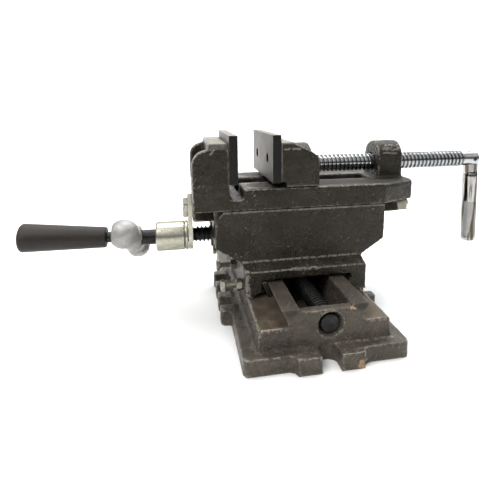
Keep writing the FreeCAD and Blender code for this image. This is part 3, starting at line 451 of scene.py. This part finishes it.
def waves(points, size, seed):
    """A smooth random field about 0, with bumps of roughly this size."""
    count = 20
    rng = np.random.default_rng(seed)
    total = np.zeros(len(points))
    for _ in range(count):
        way = rng.normal(size=3)
        way *= rng.uniform(0.6, 1.5) * 2 * math.pi / (2 * size * np.linalg.norm(way))
        total += np.sin(points @ way + rng.uniform(0, 6.283))
    return total / math.sqrt(count)


def welded(nodes):
    """The nodes' solids in one bmesh, with the vertices that lie on each other joined."""
    work = bmesh.new()
    for node in nodes:
        work.from_mesh(NODES[node].data)
    bmesh.ops.remove_doubles(work, verts=work.verts, dist=WELD)
    return work


def remeshed(name, nodes, voxel):
    """The nodes' solids as one even mesh."""
    work = welded(nodes)
    mesh = bpy.data.meshes.new(name + "_work")
    work.to_mesh(mesh)
    work.free()
    ob = bpy.data.objects.new(name + "_work", mesh)
    bpy.context.scene.collection.objects.link(ob)
    modifier = ob.modifiers.new("even", "REMESH")
    modifier.mode = "VOXEL"
    modifier.voxel_size = voxel
    graph = bpy.context.evaluated_depsgraph_get()
    result = bpy.data.meshes.new_from_object(ob.evaluated_get(graph))
    bpy.data.objects.remove(ob)
    result.name = name
    return result


def cast_piece(name, nodes, voxel, machined, seed, chips=(), worn_and_glint_lines=(), painted_shade_lines=()):
    """A casting: softened edges, a slightly uneven skin, and masks for wear with painted highlights and for
    painted shade.

    machined(points, normals) is above 0 where the surface is cut and stays true, and tells how
    bright the cut metal is.  chips are (centre, radius, depth), streaks are lines lightened as
    wear and as painted highlights (start, end, radius), and bores are holes and stretches
    darkened as painted shade (start, end, radius, how dark), all in millimetres.
    """
    mesh = remeshed(name, nodes, voxel)
    web = Web(mesh)
    points = coords(mesh)
    cut = machined(points, normals(mesh)).astype(float)
    true = np.clip(web.smooth((cut > 0).astype(float), 2), 0, 1)
    soft = web.smooth(points, CAST_ROUNDS)
    keep = true[:, None] * 0.7
    points = points * keep + soft * (1 - keep)
    mesh.vertices.foreach_set("co", points.ravel())
    mesh.update()
    facing = normals(mesh)

    # Convex edges are lightened (wear and painted highlight) and concave creases darkened (painted shade).
    bend = ((points - web.smooth(points, 4)) * facing).sum(1) / voxel
    bend = web.smooth(bend, 1)
    wear_and_glint = np.clip(bend * 5.0, 0, 1)
    hollow_shade = np.clip(-bend * 3.0, 0, 1)

    off_floor = np.clip((points[:, 2] - cad_box[0][2]) / 0.002, 0, 1)
    rough = (1 - true) * off_floor
    skin = waves(points, 0.009, seed) * 0.6 + waves(points, 0.0035, seed + 1) * 0.5
    depth = CAST_LUMP * (skin - 1.5)
    # lines lightened partly as wear and partly as painted highlights
    for start, end, radius in worn_and_glint_lines:
        away = off_line(points, start, end) / (radius * MM)
        wear_and_glint = np.maximum(wear_and_glint, np.clip(2.4 - 1.2 * away, 0, 1.4))
    # painted shade along the given holes and stretches
    for start, end, radius, black in painted_shade_lines:
        away = off_line(points, start, end) / (radius * MM)
        near = black * np.clip(3 * (1.25 - away), 0, 1)
        hollow_shade = np.maximum(hollow_shade, near)
        wear_and_glint = wear_and_glint * (1 - near)
    raw = np.zeros(len(points))
    for centre, radius, deep in chips:
        near = np.linalg.norm(points - np.array(centre) * MM, axis=1) / (radius * MM)
        ragged = near * (1 + 0.35 * waves(points, 0.0025, seed + 5))
        bite = np.clip(1.15 - ragged, 0, 1)
        depth = depth - bite * deep * MM
        raw = np.maximum(raw, np.clip(bite * 2.5, 0, 1))
    slant = (np.abs(facing[:, 2]) > 0.2) & (np.abs(facing[:, 2]) < 0.85)
    room = FIT_ROOM * web.smooth(true * slant, 1)
    points = points + facing * (depth * rough - room * off_floor)[:, None]
    mesh.vertices.foreach_set("co", points.ravel())
    mesh.update()
    attribute(mesh, "wear_and_glint", wear_and_glint)
    attribute(mesh, "raw", raw)
    attribute(mesh, "hollow_shade", web.smooth(hollow_shade, 1))
    attribute(mesh, "machined", np.clip(web.smooth(cut, 2), 0, 1))
    return stand_for(show(name, mesh), *nodes)


def off_line(points, start, end):
    """How far each point is from the stretch between two points given in millimetres."""
    a, b = np.array(start) * MM, np.array(end) * MM
    share = np.clip(((points - a) @ (b - a)) / ((b - a) @ (b - a)), 0, 1)
    return np.linalg.norm(points - a - share[:, None] * (b - a), axis=1)


def islands(node):
    """The boxes of a node's separate solids, each as (lowest, highest) corners."""
    work = welded([node])
    left = set(work.verts)
    found = []
    while left:
        stack = [left.pop()]
        part = [stack[0]]
        while stack:
            for edge in stack.pop().link_edges:
                for vert in edge.verts:
                    if vert in left:
                        left.remove(vert)
                        stack.append(vert)
                        part.append(vert)
        cloud = np.array([v.co for v in part])
        found.append((Vector(cloud.min(0)), Vector(cloud.max(0))))
    work.free()
    return sorted(found, key=lambda pair: tuple(pair[0]))


def kept_part(node, axis, low, high):
    """The stretch of a node between two planes across an axis, as vertices and faces."""
    work = welded([node])
    normal = Vector((0, 0, 0))
    normal[axis] = 1
    for place, clear_outer in ((low, False), (high, True)):
        if place is None:
            continue
        at = Vector((0, 0, 0))
        at[axis] = place
        bmesh.ops.bisect_plane(work, geom=work.verts[:] + work.edges[:] + work.faces[:],
                               plane_co=at, plane_no=normal, clear_outer=clear_outer,
                               clear_inner=not clear_outer)
        rim = [e for e in work.edges if e.is_boundary]
        if rim:
            bmesh.ops.holes_fill(work, edges=rim, sides=0)
    work.verts.index_update()
    verts = [v.co.copy() for v in work.verts]
    faces = [[v.index for v in f.verts] for f in work.faces]
    work.free()
    return verts, faces


class Shape:
    """Vertices and faces gathered from several pieces of geometry."""

    def __init__(self):
        self.verts = []
        self.faces = []
        self.marks = []

    def add(self, verts, faces, place=None, hollow_shade=None):
        start = len(self.verts)
        self.verts += [place @ Vector(v) if place else Vector(v) for v in verts]
        self.faces += [[start + i for i in f] for f in faces]
        # marks of painted shade, one per vertex
        self.marks += list(hollow_shade) if hollow_shade is not None else [0.0] * len(verts)

    def build(self, name, sharp=35):
        mesh = bpy.data.meshes.new(name)
        mesh.from_pydata(self.verts, [], self.faces)
        attribute(mesh, "hollow_shade", self.marks)
        mesh.validate()
        mesh.update()
        return show(name, mesh, sharp)


def axes(origin, along, across=(0, 0, 1)):
    """A placement whose local Z lies along one direction and local X near another."""
    z = Vector(along).normalized()
    x = Vector(across)
    if abs(x.normalized().dot(z)) > 0.95:
        x = Vector((0, 1, 0))
    x = (x - x.dot(z) * z).normalized()
    y = z.cross(x)
    turn = Matrix((x, y, z)).transposed().to_4x4()
    turn.translation = Vector(origin)
    return turn


def lathe(profile, around=96, radius_at=None):
    """A closed turned solid about Z; profile is (radius, height) from bottom to top."""
    verts = []
    faces = []
    for radius, height in profile:
        for i in range(around):
            angle = 2 * math.pi * i / around
            r = radius_at(radius, height, angle) if radius_at else radius
            verts.append((r * math.cos(angle), r * math.sin(angle), height))
    rows = len(profile)
    for j in range(rows - 1):
        for i in range(around):
            k = (i + 1) % around
            lower, upper = j * around, (j + 1) * around
            faces.append([lower + i, lower + k, upper + k, upper + i])
    verts += [(0, 0, profile[0][1]), (0, 0, profile[-1][1])]
    bottom, top = len(verts) - 2, len(verts) - 1
    for i in range(around):
        k = (i + 1) % around
        faces.append([bottom, k, i])
        faces.append([top, (rows - 1) * around + i, (rows - 1) * around + k])
    return verts, faces


def rounded_profile(points, radius, steps=4):
    """The same profile with each inner corner turned into a small arc."""
    out = [points[0]]
    for before, corner, after in zip(points, points[1:], points[2:]):
        a, b, c = (Vector((*p, 0)) for p in (before, corner, after))
        room = min(radius, (a - b).length * 0.45, (c - b).length * 0.45)
        start = b + (a - b).normalized() * room
        end = b + (c - b).normalized() * room
        for i in range(steps + 1):
            t = i / steps
            p = start.lerp(b, t).lerp(b.lerp(end, t), t)
            out.append((p.x, p.y))
    return out + [points[-1]]


def thread(outer, inner, pitch, low, high, around, flat=0.36, taper=1.2):
    """A right-handed screw thread about Z with rounded crests, closed at both ends."""
    crest = [(0.0, 0.0), (0.05, 0.55), (0.14, 0.96), (flat * 0.5, 1.0), (flat, 0.96),
             (flat + 0.09, 0.55), (flat + 0.15, 0.05), (0.5 + flat * 0.5, 0.0)]
    turns = int(math.ceil((high - low) / pitch)) + 1
    steps = around * turns
    verts = []
    marks = []
    for j in range(steps + 1):
        angle = 2 * math.pi * j / around
        for share, rise in crest:
            z = low - pitch + pitch * (j / around + share)
            fade = min(1.0, max(0.0, (z - low) / (taper * pitch)),
                       max(0.0, (high - z) / (taper * pitch)))
            r = inner + (outer - inner) * rise * fade
            z = min(max(z, low), high)
            verts.append((r * math.cos(angle), r * math.sin(angle), z))
            # painted shade: darker towards the thread roots
            marks.append(0.75 * (1 - rise) if 0 < fade else 0.4)
    n = len(crest)
    faces = []
    for j in range(steps):
        for i in range(n):
            a = j * n + i
            b = (j + 1) * n + i
            if i < n - 1:
                c, e = b + 1, a + 1
            else:
                if j + around + 1 > steps:
                    continue
                c, e = (j + around + 1) * n, (j + around) * n
            faces.append([a, b, c, e])
    verts += [(0, 0, low), (0, 0, high)]
    marks += [0.3, 0.3]
    ring_low, ring_high = [], []
    for i in range(around):
        angle = 2 * math.pi * i / around
        ring_low.append(len(verts))
        verts.append((inner * math.cos(angle), inner * math.sin(angle), low))
        ring_high.append(len(verts))
        verts.append((inner * math.cos(angle), inner * math.sin(angle), high))
        marks += [0.3, 0.3]
    centre = len(verts) - 2 * around - 2
    for i in range(around):
        k = (i + 1) % around
        faces.append([centre, ring_low[k], ring_low[i]])
        faces.append([centre + 1, ring_high[i], ring_high[k]])
    return verts, faces, marks


def hexagon(width, height, hole=0.0):
    """A hexagon head or nut about Z from 0 to height, its corners chamfered."""
    around = 72
    half = width / 2
    flat = half * 0.94
    slope = math.tan(math.radians(30))

    def outline(angle):
        """(radius, height) at one angle, from the middle of the lower face to that of the upper."""
        sector = (angle + math.pi / 6) % (math.pi / 3) - math.pi / 6
        full = half / math.cos(sector)
        drop = max(full - flat, 0) * slope + 0.00015
        return ((hole, 0.0), (flat, 0.0), (full, drop),
                (full, height - drop), (flat, height), (hole, height))

    verts = []
    for row in range(6):
        for i in range(around):
            angle = 2 * math.pi * i / around
            r, z = outline(angle)[row]
            verts.append((r * math.cos(angle), r * math.sin(angle), z))
    faces = []
    links = [(0, 1), (1, 2), (2, 3), (3, 4), (4, 5)] + ([(5, 0)] if hole else [])
    for a, b in links:
        for i in range(around):
            k = (i + 1) % around
            quad = [a * around + i, a * around + k, b * around + k, b * around + i]
            faces.append(quad if b else quad[::-1])
    return verts, faces


# ---------------------------------------------------------------- castings

# Each ways_ function finds the cut faces of a casting by their place in millimetres and, where
# that is not enough, by the way they face.  It gives their brightness; 0 is the casting's skin.

def ways_of_base(points, facing):
    x, y, z = points.T / MM
    level = (facing[:, 2] > 0.85) & (np.abs(y) < 117.2)
    deck = (z > 31.6) & (z < 36) & (np.abs(x) < 56.2) & level
    rail = (z > 36) & (np.abs(x) < 38) & level
    flank = (z > 32.4) & (np.abs(x) > 30.5) & (np.abs(x) < 38) & (np.abs(y) < 117.4)
    return np.maximum.reduce([deck * 0.9, 0.08 * rail, 0.2 * flank, 1.0 * (z < 1.2)])


def ways_of_saddle(points, facing):
    x, y, z = points.T / MM
    flank = (np.abs(x) < 43.5) & (z > 32) & (z < 47.6) & (np.abs(y) < 55)
    upper = (z > 98) & (np.abs(y) < 45)
    # The flank takes mostly the paint colour so it stays dark: painted shade on a hidden cut face.
    return np.maximum(0.25 * flank, upper | (z > 110.2) | (z < 33.2))


def ways_of_bed(points, facing):
    x, y, z = points.T / MM
    top = (z > 130) & (z < 131.6) & (facing[:, 2] > 0.8) & (x > -57) & (x < 86) & (np.abs(y) > 15.4)
    seat = (x > -69.2) & (x < -66) & (facing[:, 0] > 0.6) & (z > 133)
    slot = (np.abs(y) < 15.4) & (z > 106) & (z < 130.6) & (x > -57) & (x < 86.5)
    crown = (z > 171) & (facing[:, 2] > 0.85)
    # The dovetail faces take the paint colour instead of cut steel: painted shade.
    dovetail = 0.02 * (z < 111.6)
    return np.maximum.reduce([0.12 * top, dovetail, 1.0 * (seat | slot | crown)])


def ways_of_jaw(points, facing):
    x, _, z = points.T / MM
    crown = (z > 171) & (facing[:, 2] > 0.85)
    return (z < 132.2) | ((x < -20.4) & (facing[:, 0] < -0.6)) | crown


def build_castings():
    cast_piece(
        "base_body", ["base_casting"], CAST_VOXEL, ways_of_base, seed=11,
        chips=[((26.0, -133.4, 3.6), 4.4, 2.0), ((21.8, -118, 44.2), 1.6, 0.5)],
        # lines lightened along edges and creases: partly worn paint, partly painted highlights
        worn_and_glint_lines=[((8, -118.2, 15), (57, -118.2, 15), 0.8), ((23, -127, 14.5), (69, -127, 14.5), 0.7),
                 ((-66, -127, 14.5), (-24, -127, 14.5), 0.6), ((-57, -118, 32.2), (-38, -118, 32.2), 0.7),
                 ((38, -118, 32.2), (57, -118, 32.2), 0.7), ((-37, -118, 46.8), (-22, -118, 46.8), 0.7),
                 ((22, -118, 46.8), (37, -118, 46.8), 0.9), ((-21, -118, 44.3), (21, -118, 44.3), 0.6)],
        # painted shade: the front hole and the dovetail flanks made dark
        painted_shade_lines=[((3.5, -119, 31.3), (3.5, -112, 31.3), 8.6, 1.0),
               ((29.5, -116, 46.8), (29.5, 116, 46.8), 6.5, 0.55),
               ((-29.5, -116, 46.8), (-29.5, 116, 46.8), 6.5, 0.55)])
    cast_piece(
        "saddle_body", ["saddle_casting"], CAST_VOXEL, ways_of_saddle, seed=23,
        # painted highlights on the crease and the left corner that faces the light, with worn edge lines
        worn_and_glint_lines=[((-58, -51, 62.8), (60, -51, 62.8), 0.8), ((-52, -63.7, 57.6), (58, -63.7, 57.6), 0.7),
                 ((-74, -50.8, 110.6), (82, -50.8, 110.6), 1.0), ((-54.6, -62, 57), (-54.6, -62, 34), 1.7),
                 ((-14, -63.5, 58.2), (10, -63.5, 57.8), 1.6),
                 ((-50.4, -63.7, 32.6), (-41.8, -63.7, 39.6), 0.6)])
    cast_piece(
        "bed_body", ["bed_casting"], CAST_VOXEL, ways_of_bed, seed=37,
        # worn edge lines, and painted highlights (glints) on the rounded top of the boss
        worn_and_glint_lines=[((-101, -50.7, 111.3), (104, -50.7, 111.3), 0.7), ((-56, -50.7, 131), (82, -50.7, 131), 0.6),
                 ((92, -16, 132.5), (117, -16, 132.5), 0.8), ((-66, -50.7, 121.6), (-57, -50.7, 121.6), 1.0),
                 ((-80, -50.7, 172), (-70, -50.7, 172), 1.2), ((97, -14.6, 160.6), (115, -14.8, 160.3), 1.5),
                 ((94, -16.6, 156.5), (110, -16.9, 155.6), 0.7),
                 ((100, -12, 163.8), (113, -11.6, 164.2), 0.8),
                 ((-84.6, -50.7, 163), (-79, -50.7, 169.5), 0.6)],
        # painted shade on the rail tops on both sides of the screw slot
        painted_shade_lines=[((-38, side * 32, 131), (98, side * 32, 131), 12.5, 0.5) for side in (-1, 1)])
    cast_piece(
        "movable_jaw_body", ["movable_jaw_casting"], 0.0011, ways_of_jaw, seed=41,
        worn_and_glint_lines=[((-18, -50.5, 166), (-4, -50.5, 166), 0.8)])
    for way in ("lower", "upper"):
        crank_piece(f"{way}_crank_body", f"{way}_ball_crank")


def crank_piece(name, node):
    """A ball crank: softened corners, a finely uneven skin and a mask of painted shade for its hollows."""
    voxel = 0.0008
    mesh = remeshed(name, [node], voxel)
    web = Web(mesh)
    points = web.smooth(coords(mesh), 10)
    mesh.vertices.foreach_set("co", points.ravel())
    mesh.update()
    bend = ((points - web.smooth(points, 6)) * normals(mesh)).sum(1) / voxel
    # painted shade: darker in concave places
    attribute(mesh, "hollow_shade", web.smooth(np.clip(-bend * 1.6, 0, 1), 3))
    points = points - normals(mesh) * (0.00008 * (waves(points, 0.004, 71) + 1.5))[:, None]
    mesh.vertices.foreach_set("co", points.ravel())
    stand_for(show(name, mesh), node)


# ---------------------------------------------------------------- screws

def build_clamp_screw():
    low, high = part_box("clamp_screw")
    axis_y = (low.y + high.y) / 2
    axis_z = (low.z + high.z) / 2
    radius = (high.z - low.z) / 2
    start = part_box("movable_jaw_casting")[1].x + 0.0004
    end = 0.198
    shape = Shape()
    shape.add(*kept_part("clamp_screw", 0, None, start + 0.00001))
    place = axes((0, axis_y, axis_z), (1, 0, 0))
    verts, faces, marks = thread(radius, radius - CLAMP_DEPTH, CLAMP_PITCH, start, end, 64,
                                 flat=0.44, taper=0.35)
    shape.add(verts, faces, place, marks)
    shape.add(*kept_part("clamp_screw", 0, end - 0.0004, None))
    stand_for(shape.build("clamp_screw_body", 30), "clamp_screw")


def build_leadscrews():
    low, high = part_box("upper_leadscrew")
    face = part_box("upper_bracket")[1].x
    axis_z = (low.z + high.z) / 2
    shape = Shape()
    shape.add(*kept_part("upper_leadscrew", 0, None, face + 0.0006))
    verts, faces, marks = thread(LEAD_RADIUS, LEAD_ROOT, LEAD_PITCH, face + 0.0004, high.x, 56)
    shape.add(verts, faces, axes((0, 0, axis_z), (1, 0, 0)), marks)
    stand_for(shape.build("upper_leadscrew_body", 30), "upper_leadscrew")

    low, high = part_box("lower_leadscrew")
    wall = 0.108
    axis_x, axis_z = (low.x + high.x) / 2, (low.z + high.z) / 2
    shape = Shape()
    shape.add(*kept_part("lower_leadscrew", 1, None, -wall + 0.0002))
    verts, faces, marks = thread(LEAD_RADIUS, LEAD_ROOT, LEAD_PITCH, -wall, wall - 0.0006, 56)
    shape.add(verts, faces, axes((axis_x, 0, axis_z), (0, 1, 0)), marks)
    shape.add(*kept_part("lower_leadscrew", 1, wall - 0.0008, None))
    stand_for(shape.build("lower_leadscrew_body", 30), "lower_leadscrew")


def end_facing(low, high, way):
    """Where a direction enters a box, in the middle of that end, and the box's length along it."""
    axis = [i for i in range(3) if abs(way[i]) > 0.5][0]
    start = (low + high) / 2
    start[axis] = low[axis] if way[axis] > 0 else high[axis]
    return start, high[axis] - low[axis]


def hex_screws(name, node, along, head_width, head_height, shank, pitch=0.001):
    """One threaded hexagon screw per solid; along points from the head's top to the tip."""
    shape = Shape()
    for low, high in islands(node):
        top, length = end_facing(low, high, along)
        place = axes(top, along)
        shape.add(*hexagon(head_width, head_height), place)
        verts, faces, marks = thread(shank, shank * 0.82, pitch, head_height - 0.0002, length, 28,
                                     taper=0.6)
        shape.add(verts, faces, place, marks)
    stand_for(shape.build(name, 30), node)


def hex_nuts(name, node, along, width, hole):
    """One hexagon nut per solid, each turned a little further than the one before."""
    shape = Shape()
    for index, (low, high) in enumerate(islands(node)):
        start, height = end_facing(low, high, along)
        spin = Matrix.Rotation(math.radians(17 + 21 * index), 4, "Z")
        shape.add(*hexagon(width, height, hole), axes(start, along) @ spin)
    stand_for(shape.build(name, 30), node)


def build_fasteners():
    head, shank = 0.010, 0.003      # width across the flats and thread radius of all but the end cap's
    hex_screws("lower_gib_screw_set", "lower_gib_screws", (1, 0, 0), head, 0.004, shank)
    hex_screws("upper_gib_screw_set", "upper_gib_screws", (0, -1, 0), head, 0.004, shank)
    hex_nuts("lower_gib_nut_set", "lower_gib_locknuts", (1, 0, 0), head, shank)
    hex_nuts("upper_gib_nut_set", "upper_gib_locknuts", (0, 1, 0), head, shank)
    hex_screws("upper_bracket_screw_set", "upper_bracket_screws", (1, 0, 0), head, 0.0046, shank)
    hex_screws("lower_bracket_screw_set", "lower_bracket_screws", (0, -1, 0), head, 0.0046, shank)
    hex_screws("end_cap_screw_set", "slide_end_cap_screws", (-1, 0, 0), 0.008, 0.0035, 0.0025, 0.0008)


# ---------------------------------------------------------------- collars, grips and the bar

def build_collars():
    """The zinc collars, each with a groove near its bracket end, painted darker there as shade."""
    bore = 0.0072
    groove = 0.0011
    for way, along in (("upper", (-1, 0, 0)), ("lower", (0, 1, 0))):
        low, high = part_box(f"{way}_collar")
        start, length = end_facing(low, high, along)
        r = (high.z - low.z) / 2
        profile = rounded_profile([
            (bore, 0), (r - 0.0008, 0), (r, 0.0007), (r, 0.0026), (r - groove, 0.0030),
            (r - groove, 0.0036), (r, 0.0041), (r, length - 0.0013), (r - 0.0013, length),
            (0.0105, length), (0.0100, length - 0.0005), (bore, length - 0.0005),
        ], 0.00035)
        shape = Shape()
        marks = []
        for radius, height in profile:
            # painted shade in the groove and bore near the bracket end
            marks += [0.8 if radius < r - 0.0009 and height < 0.005 else 0.0] * 128
        verts, faces = lathe(profile, 128)
        shape.add(verts, faces, axes(start, along), marks + [0.0, 0.0])
        stand_for(shape.build(f"{way}_collar_body", 40), f"{way}_collar")


def joint_named(name):
    return [joint for joint in frame["joints"] if joint["name"] == name][0]


def build_grips():
    """The tapered grips with their domed ends, each on the axis of its own joint."""
    gap = 0.0146        # from the joint's place to the near end of the grip
    for way, spin, outward in (("upper", "x_grip_spin", -1), ("lower", "y_grip_spin", 1)):
        joint = joint_named(spin)
        along = Vector(joint["axis"]) * outward
        start = Vector(joint["pos_m"]) + gap * along
        long = 0.073
        big = 0.0124
        small = 0.0092
        rise = long - 0.0052
        profile = [(0.0045, 0.0006), (0.0062, 0.0002), (small - 0.0011, 0.0), (small - 0.0003, 0.0004),
                   (small, 0.0012)]
        for i in range(1, 29):
            t = i / 28
            profile.append((small + (big - small) * t, 0.0012 + t * (rise - 0.0012)))
        dome = [(big - 0.0003, rise + 0.0011), (big - 0.0012, rise + 0.0021), (big - 0.0028, rise + 0.0029),
                (big - 0.0050, rise + 0.0036), (big - 0.0074, rise + 0.0042), (big - 0.0098, rise + 0.0046),
                (0.0004, rise + 0.0048)]
        profile = rounded_profile(profile + dome, 0.0006, 3)
        shape = Shape()
        verts, faces = lathe(profile, 112)
        shape.add(verts, faces, axes(start, along))
        stand_for(shape.build(f"{way}_grip_body", 50), f"{way}_grip")


def build_bar():
    """The folding bar with its knurled end, hanging from the hinge pin at rest."""
    pin = Vector(joint_named("bar_fold")["pos_m"])
    tilt = math.radians(3)
    down = Vector((math.sin(tilt), 0, -math.cos(tilt)))
    radius = 0.0078
    length = 0.0968
    shoulder = 0.0164
    knurl_depth = 0.00036
    knurl_lead = 0.0022
    knurl_fade = 0.0008
    knurl_start = 0.0475
    round_end = 0.0034
    place = axes(pin, down, (0, 1, 0))

    def knurled(r, height, angle):
        inside = (min(1, max(0, (height - 0.0485) / knurl_fade))
                  * min(1, max(0, (length - 0.0052 - height) / knurl_fade)))
        if not inside or r < radius - 0.0002:
            return r
        a = math.sin(12 * angle + height / knurl_lead * math.pi)
        b = math.sin(12 * angle - height / knurl_lead * math.pi)
        return r - knurl_depth * (1 - min(1, 1.7 * abs(a * b))) * inside

    profile = [(radius - 0.0012, shoulder), (radius - 0.0004, shoulder + 0.0003),
               (radius, shoulder + 0.0011)]
    heights = [shoulder + 0.0011 + (knurl_start - shoulder - 0.0011) * i / 8 for i in range(1, 9)]
    heights += [knurl_start + (length - 0.0045 - knurl_start) * i / 110 for i in range(1, 111)]
    profile += [(radius, h) for h in heights]
    for i in range(1, 7):
        angle = i / 6 * math.pi / 2
        profile.append((radius - round_end + round_end * math.cos(angle),
                        length - round_end + round_end * math.sin(angle)))
    verts, faces = lathe(profile, 180, knurled)
    marks = []
    for v in verts:
        r = math.hypot(v[0], v[1])
        # painted shade: darker in the knurl valleys
        deep = (radius - r) / knurl_depth if 0.048 < v[2] < length - 0.005 else 0
        marks.append(min(1, max(0, deep)) * 0.6)
    shape = Shape()
    shape.add(verts, faces, place, marks)

    # the flat tongue with its rounded eye
    half = 0.0034
    wide = 0.0075
    outline = []
    for i in range(25):
        angle = math.pi * i / 24
        outline.append((wide * math.cos(angle), -wide * math.sin(angle)))
    outline += [(-wide, shoulder + 0.001), (wide, shoulder + 0.001)]
    rim = 0.0006
    tongue = []
    for y, inset in ((-half, rim), (-half + rim, 0), (half - rim, 0), (half, rim)):
        for u, h in outline:
            shrink = (wide - inset) / wide
            tongue.append((y, -u * shrink, h * shrink if h < 0 else h))
    n = len(outline)
    faces = [list(range(n)), list(range(3 * n, 4 * n))[::-1]]
    for j in range(3):
        for i in range(n):
            k = (i + 1) % n
            faces.append([j * n + i, (j + 1) * n + i, (j + 1) * n + k, j * n + k])
    shape.add(tongue, faces, place)
    ob = shape.build("handle_bar_body", 30)
    work = bmesh.new()
    work.from_mesh(ob.data)
    bmesh.ops.recalc_face_normals(work, faces=work.faces)
    work.to_mesh(ob.data)
    work.free()
    stand_for(ob, "handle_bar").data.materials[0] = LOOKS["handled_chrome"]


# ---------------------------------------------------------------- nodes kept as they are

def finish_kept_nodes():
    for name, ob in NODES.items():
        if not ob.hide_render:
            ob.data.materials.clear()
            ob.data.materials.append(LOOKS[SLOT_OF[name]])


# ---------------------------------------------------------------- floor, lights, camera

def build_stage():
    """A pale floor that curves up into a wall behind the vise, painted darker towards the camera as shade."""
    verts = []
    faces = []
    half_width = 3.5
    curve = 0.9
    profile = [(-3.0, 0.0), (1.6, 0.0)]
    for i in range(1, 17):
        angle = math.pi / 2 * i / 16
        profile.append((1.6 + curve * math.sin(angle), curve - curve * math.cos(angle)))
    profile.append((2.5, 3.2))
    for y, z in profile:
        verts += [(-half_width, y, z), (half_width, y, z)]
    for i in range(len(profile) - 1):
        faces.append([2 * i, 2 * i + 1, 2 * i + 3, 2 * i + 2])
    floor = new_object("floor", verts, faces)
    look = Look("pale_floor")
    cloud = look.noise(0.35, 3, 0.5)
    pale = look.mix(look.between(cloud, 0.3, 0.7), (0.86, 0.86, 0.86), (0.89, 0.89, 0.885))
    split = look.tree.nodes.new("ShaderNodeSeparateXYZ")
    look.feed(split.inputs[0], look.at)
    # painted shade: the floor darkens towards the camera
    near = look.between(split.outputs["Y"], -0.5, -1.6)
    look.set("Base Color", look.mix(near, pale, (0.62, 0.62, 0.615)))
    look.set("Roughness", look.level(look.between(look.noise(0.02, 3, 0.5), 0.3, 0.7), 0.75, 0.85))
    look.set("Normal", look.bump(look.noise(0.004, 2, 0.5), 0.0001, 0.1))
    floor.data.materials.append(look.material)


def light_room():
    """A white room overhead and behind the vise, a dim one behind the camera, and four soft lamps."""
    bpy.context.scene.view_settings.view_transform = "Standard"
    world = bpy.data.worlds.new("studio")
    bpy.context.scene.world = world
    world.use_nodes = True
    tree = world.node_tree
    way = tree.nodes.new("ShaderNodeTexCoord").outputs["Generated"]
    split = tree.nodes.new("ShaderNodeSeparateXYZ")
    tree.links.new(way, split.inputs[0])

    def ramp(value, low, high):
        node = tree.nodes.new("ShaderNodeMapRange")
        node.interpolation_type = "SMOOTHSTEP"
        node.inputs["From Min"].default_value = low
        node.inputs["From Max"].default_value = high
        tree.links.new(value, node.inputs["Value"])
        return node.outputs["Result"]

    lift = ramp(split.outputs["Z"], 0.12, 0.62)
    back = ramp(split.outputs["Y"], -0.25, 0.5)
    most = tree.nodes.new("ShaderNodeMath")
    most.operation = "MAXIMUM"
    tree.links.new(lift, most.inputs[0])
    tree.links.new(back, most.inputs[1])
    shade = tree.nodes.new("ShaderNodeMix")
    shade.data_type = "RGBA"
    shade.inputs["A"].default_value = (0.16, 0.155, 0.15, 1)
    shade.inputs["B"].default_value = (1.0, 1.0, 1.0, 1)
    tree.links.new(most.outputs[0], shade.inputs["Factor"])
    tree.links.new(shade.outputs["Result"], tree.nodes["Background"].inputs["Color"])
    tree.nodes["Background"].inputs["Strength"].default_value = 0.85

    def lamp(name, place, target, size, power, colour=(1, 1, 1)):
        data = bpy.data.lights.new(name, "AREA")
        data.shape = "RECTANGLE"
        data.size, data.size_y = size
        data.energy = power
        data.color = colour
        ob = bpy.data.objects.new(name, data)
        bpy.context.scene.collection.objects.link(ob)
        ob.location = place
        ob.rotation_euler = (Vector(target) - Vector(place)).to_track_quat("-Z", "Y").to_euler()

    # name, place, target, size in metres, watts and colour
    lamp("key", (-0.9, -0.7, 1.5), (0, 0, 0.1), (0.8, 0.6), 17)
    lamp("backdrop", (0.5, 1.1, 1.9), (0.5, 2.5, 0.7), (3.4, 0.6), 62)
    lamp("top", (0.1, 0.5, 1.7), (0, 0, 0.1), (1.6, 1.0), 26)
    lamp("side", (1.3, 0.5, 1.0), (0, 0, 0.12), (0.5, 0.9), 9, (0.85, 0.93, 1))


def build_camera():
    """Stands about 0.4 m before the vise, a little to its left and above it, looking down by 10 degrees."""
    turn = (Matrix.Rotation(math.radians(-11.02), 3, "Z")
            @ Matrix.Rotation(math.radians(-9.95), 3, "X")
            @ Matrix.Rotation(math.radians(0.31), 3, "Y"))
    right, forward, up = turn.col[0], turn.col[1], turn.col[2]
    data = bpy.data.cameras.new("camera")
    data.sensor_width = 36
    data.lens = 28.8
    data.shift_x = -0.0232
    data.shift_y = -0.1428
    data.clip_start = 0.01
    ob = bpy.data.objects.new("camera", data)
    bpy.context.scene.collection.objects.link(ob)
    pose = Matrix((right, up, -forward)).transposed().to_4x4()
    pose.translation = Vector((-0.1069, -0.3966, 0.2022))
    ob.matrix_world = pose
    bpy.context.scene.camera = ob


build_camera()
build_stage()
light_room()
build_castings()
build_clamp_screw()
build_leadscrews()
build_fasteners()
build_collars()
build_grips()
build_bar()
finish_kept_nodes()
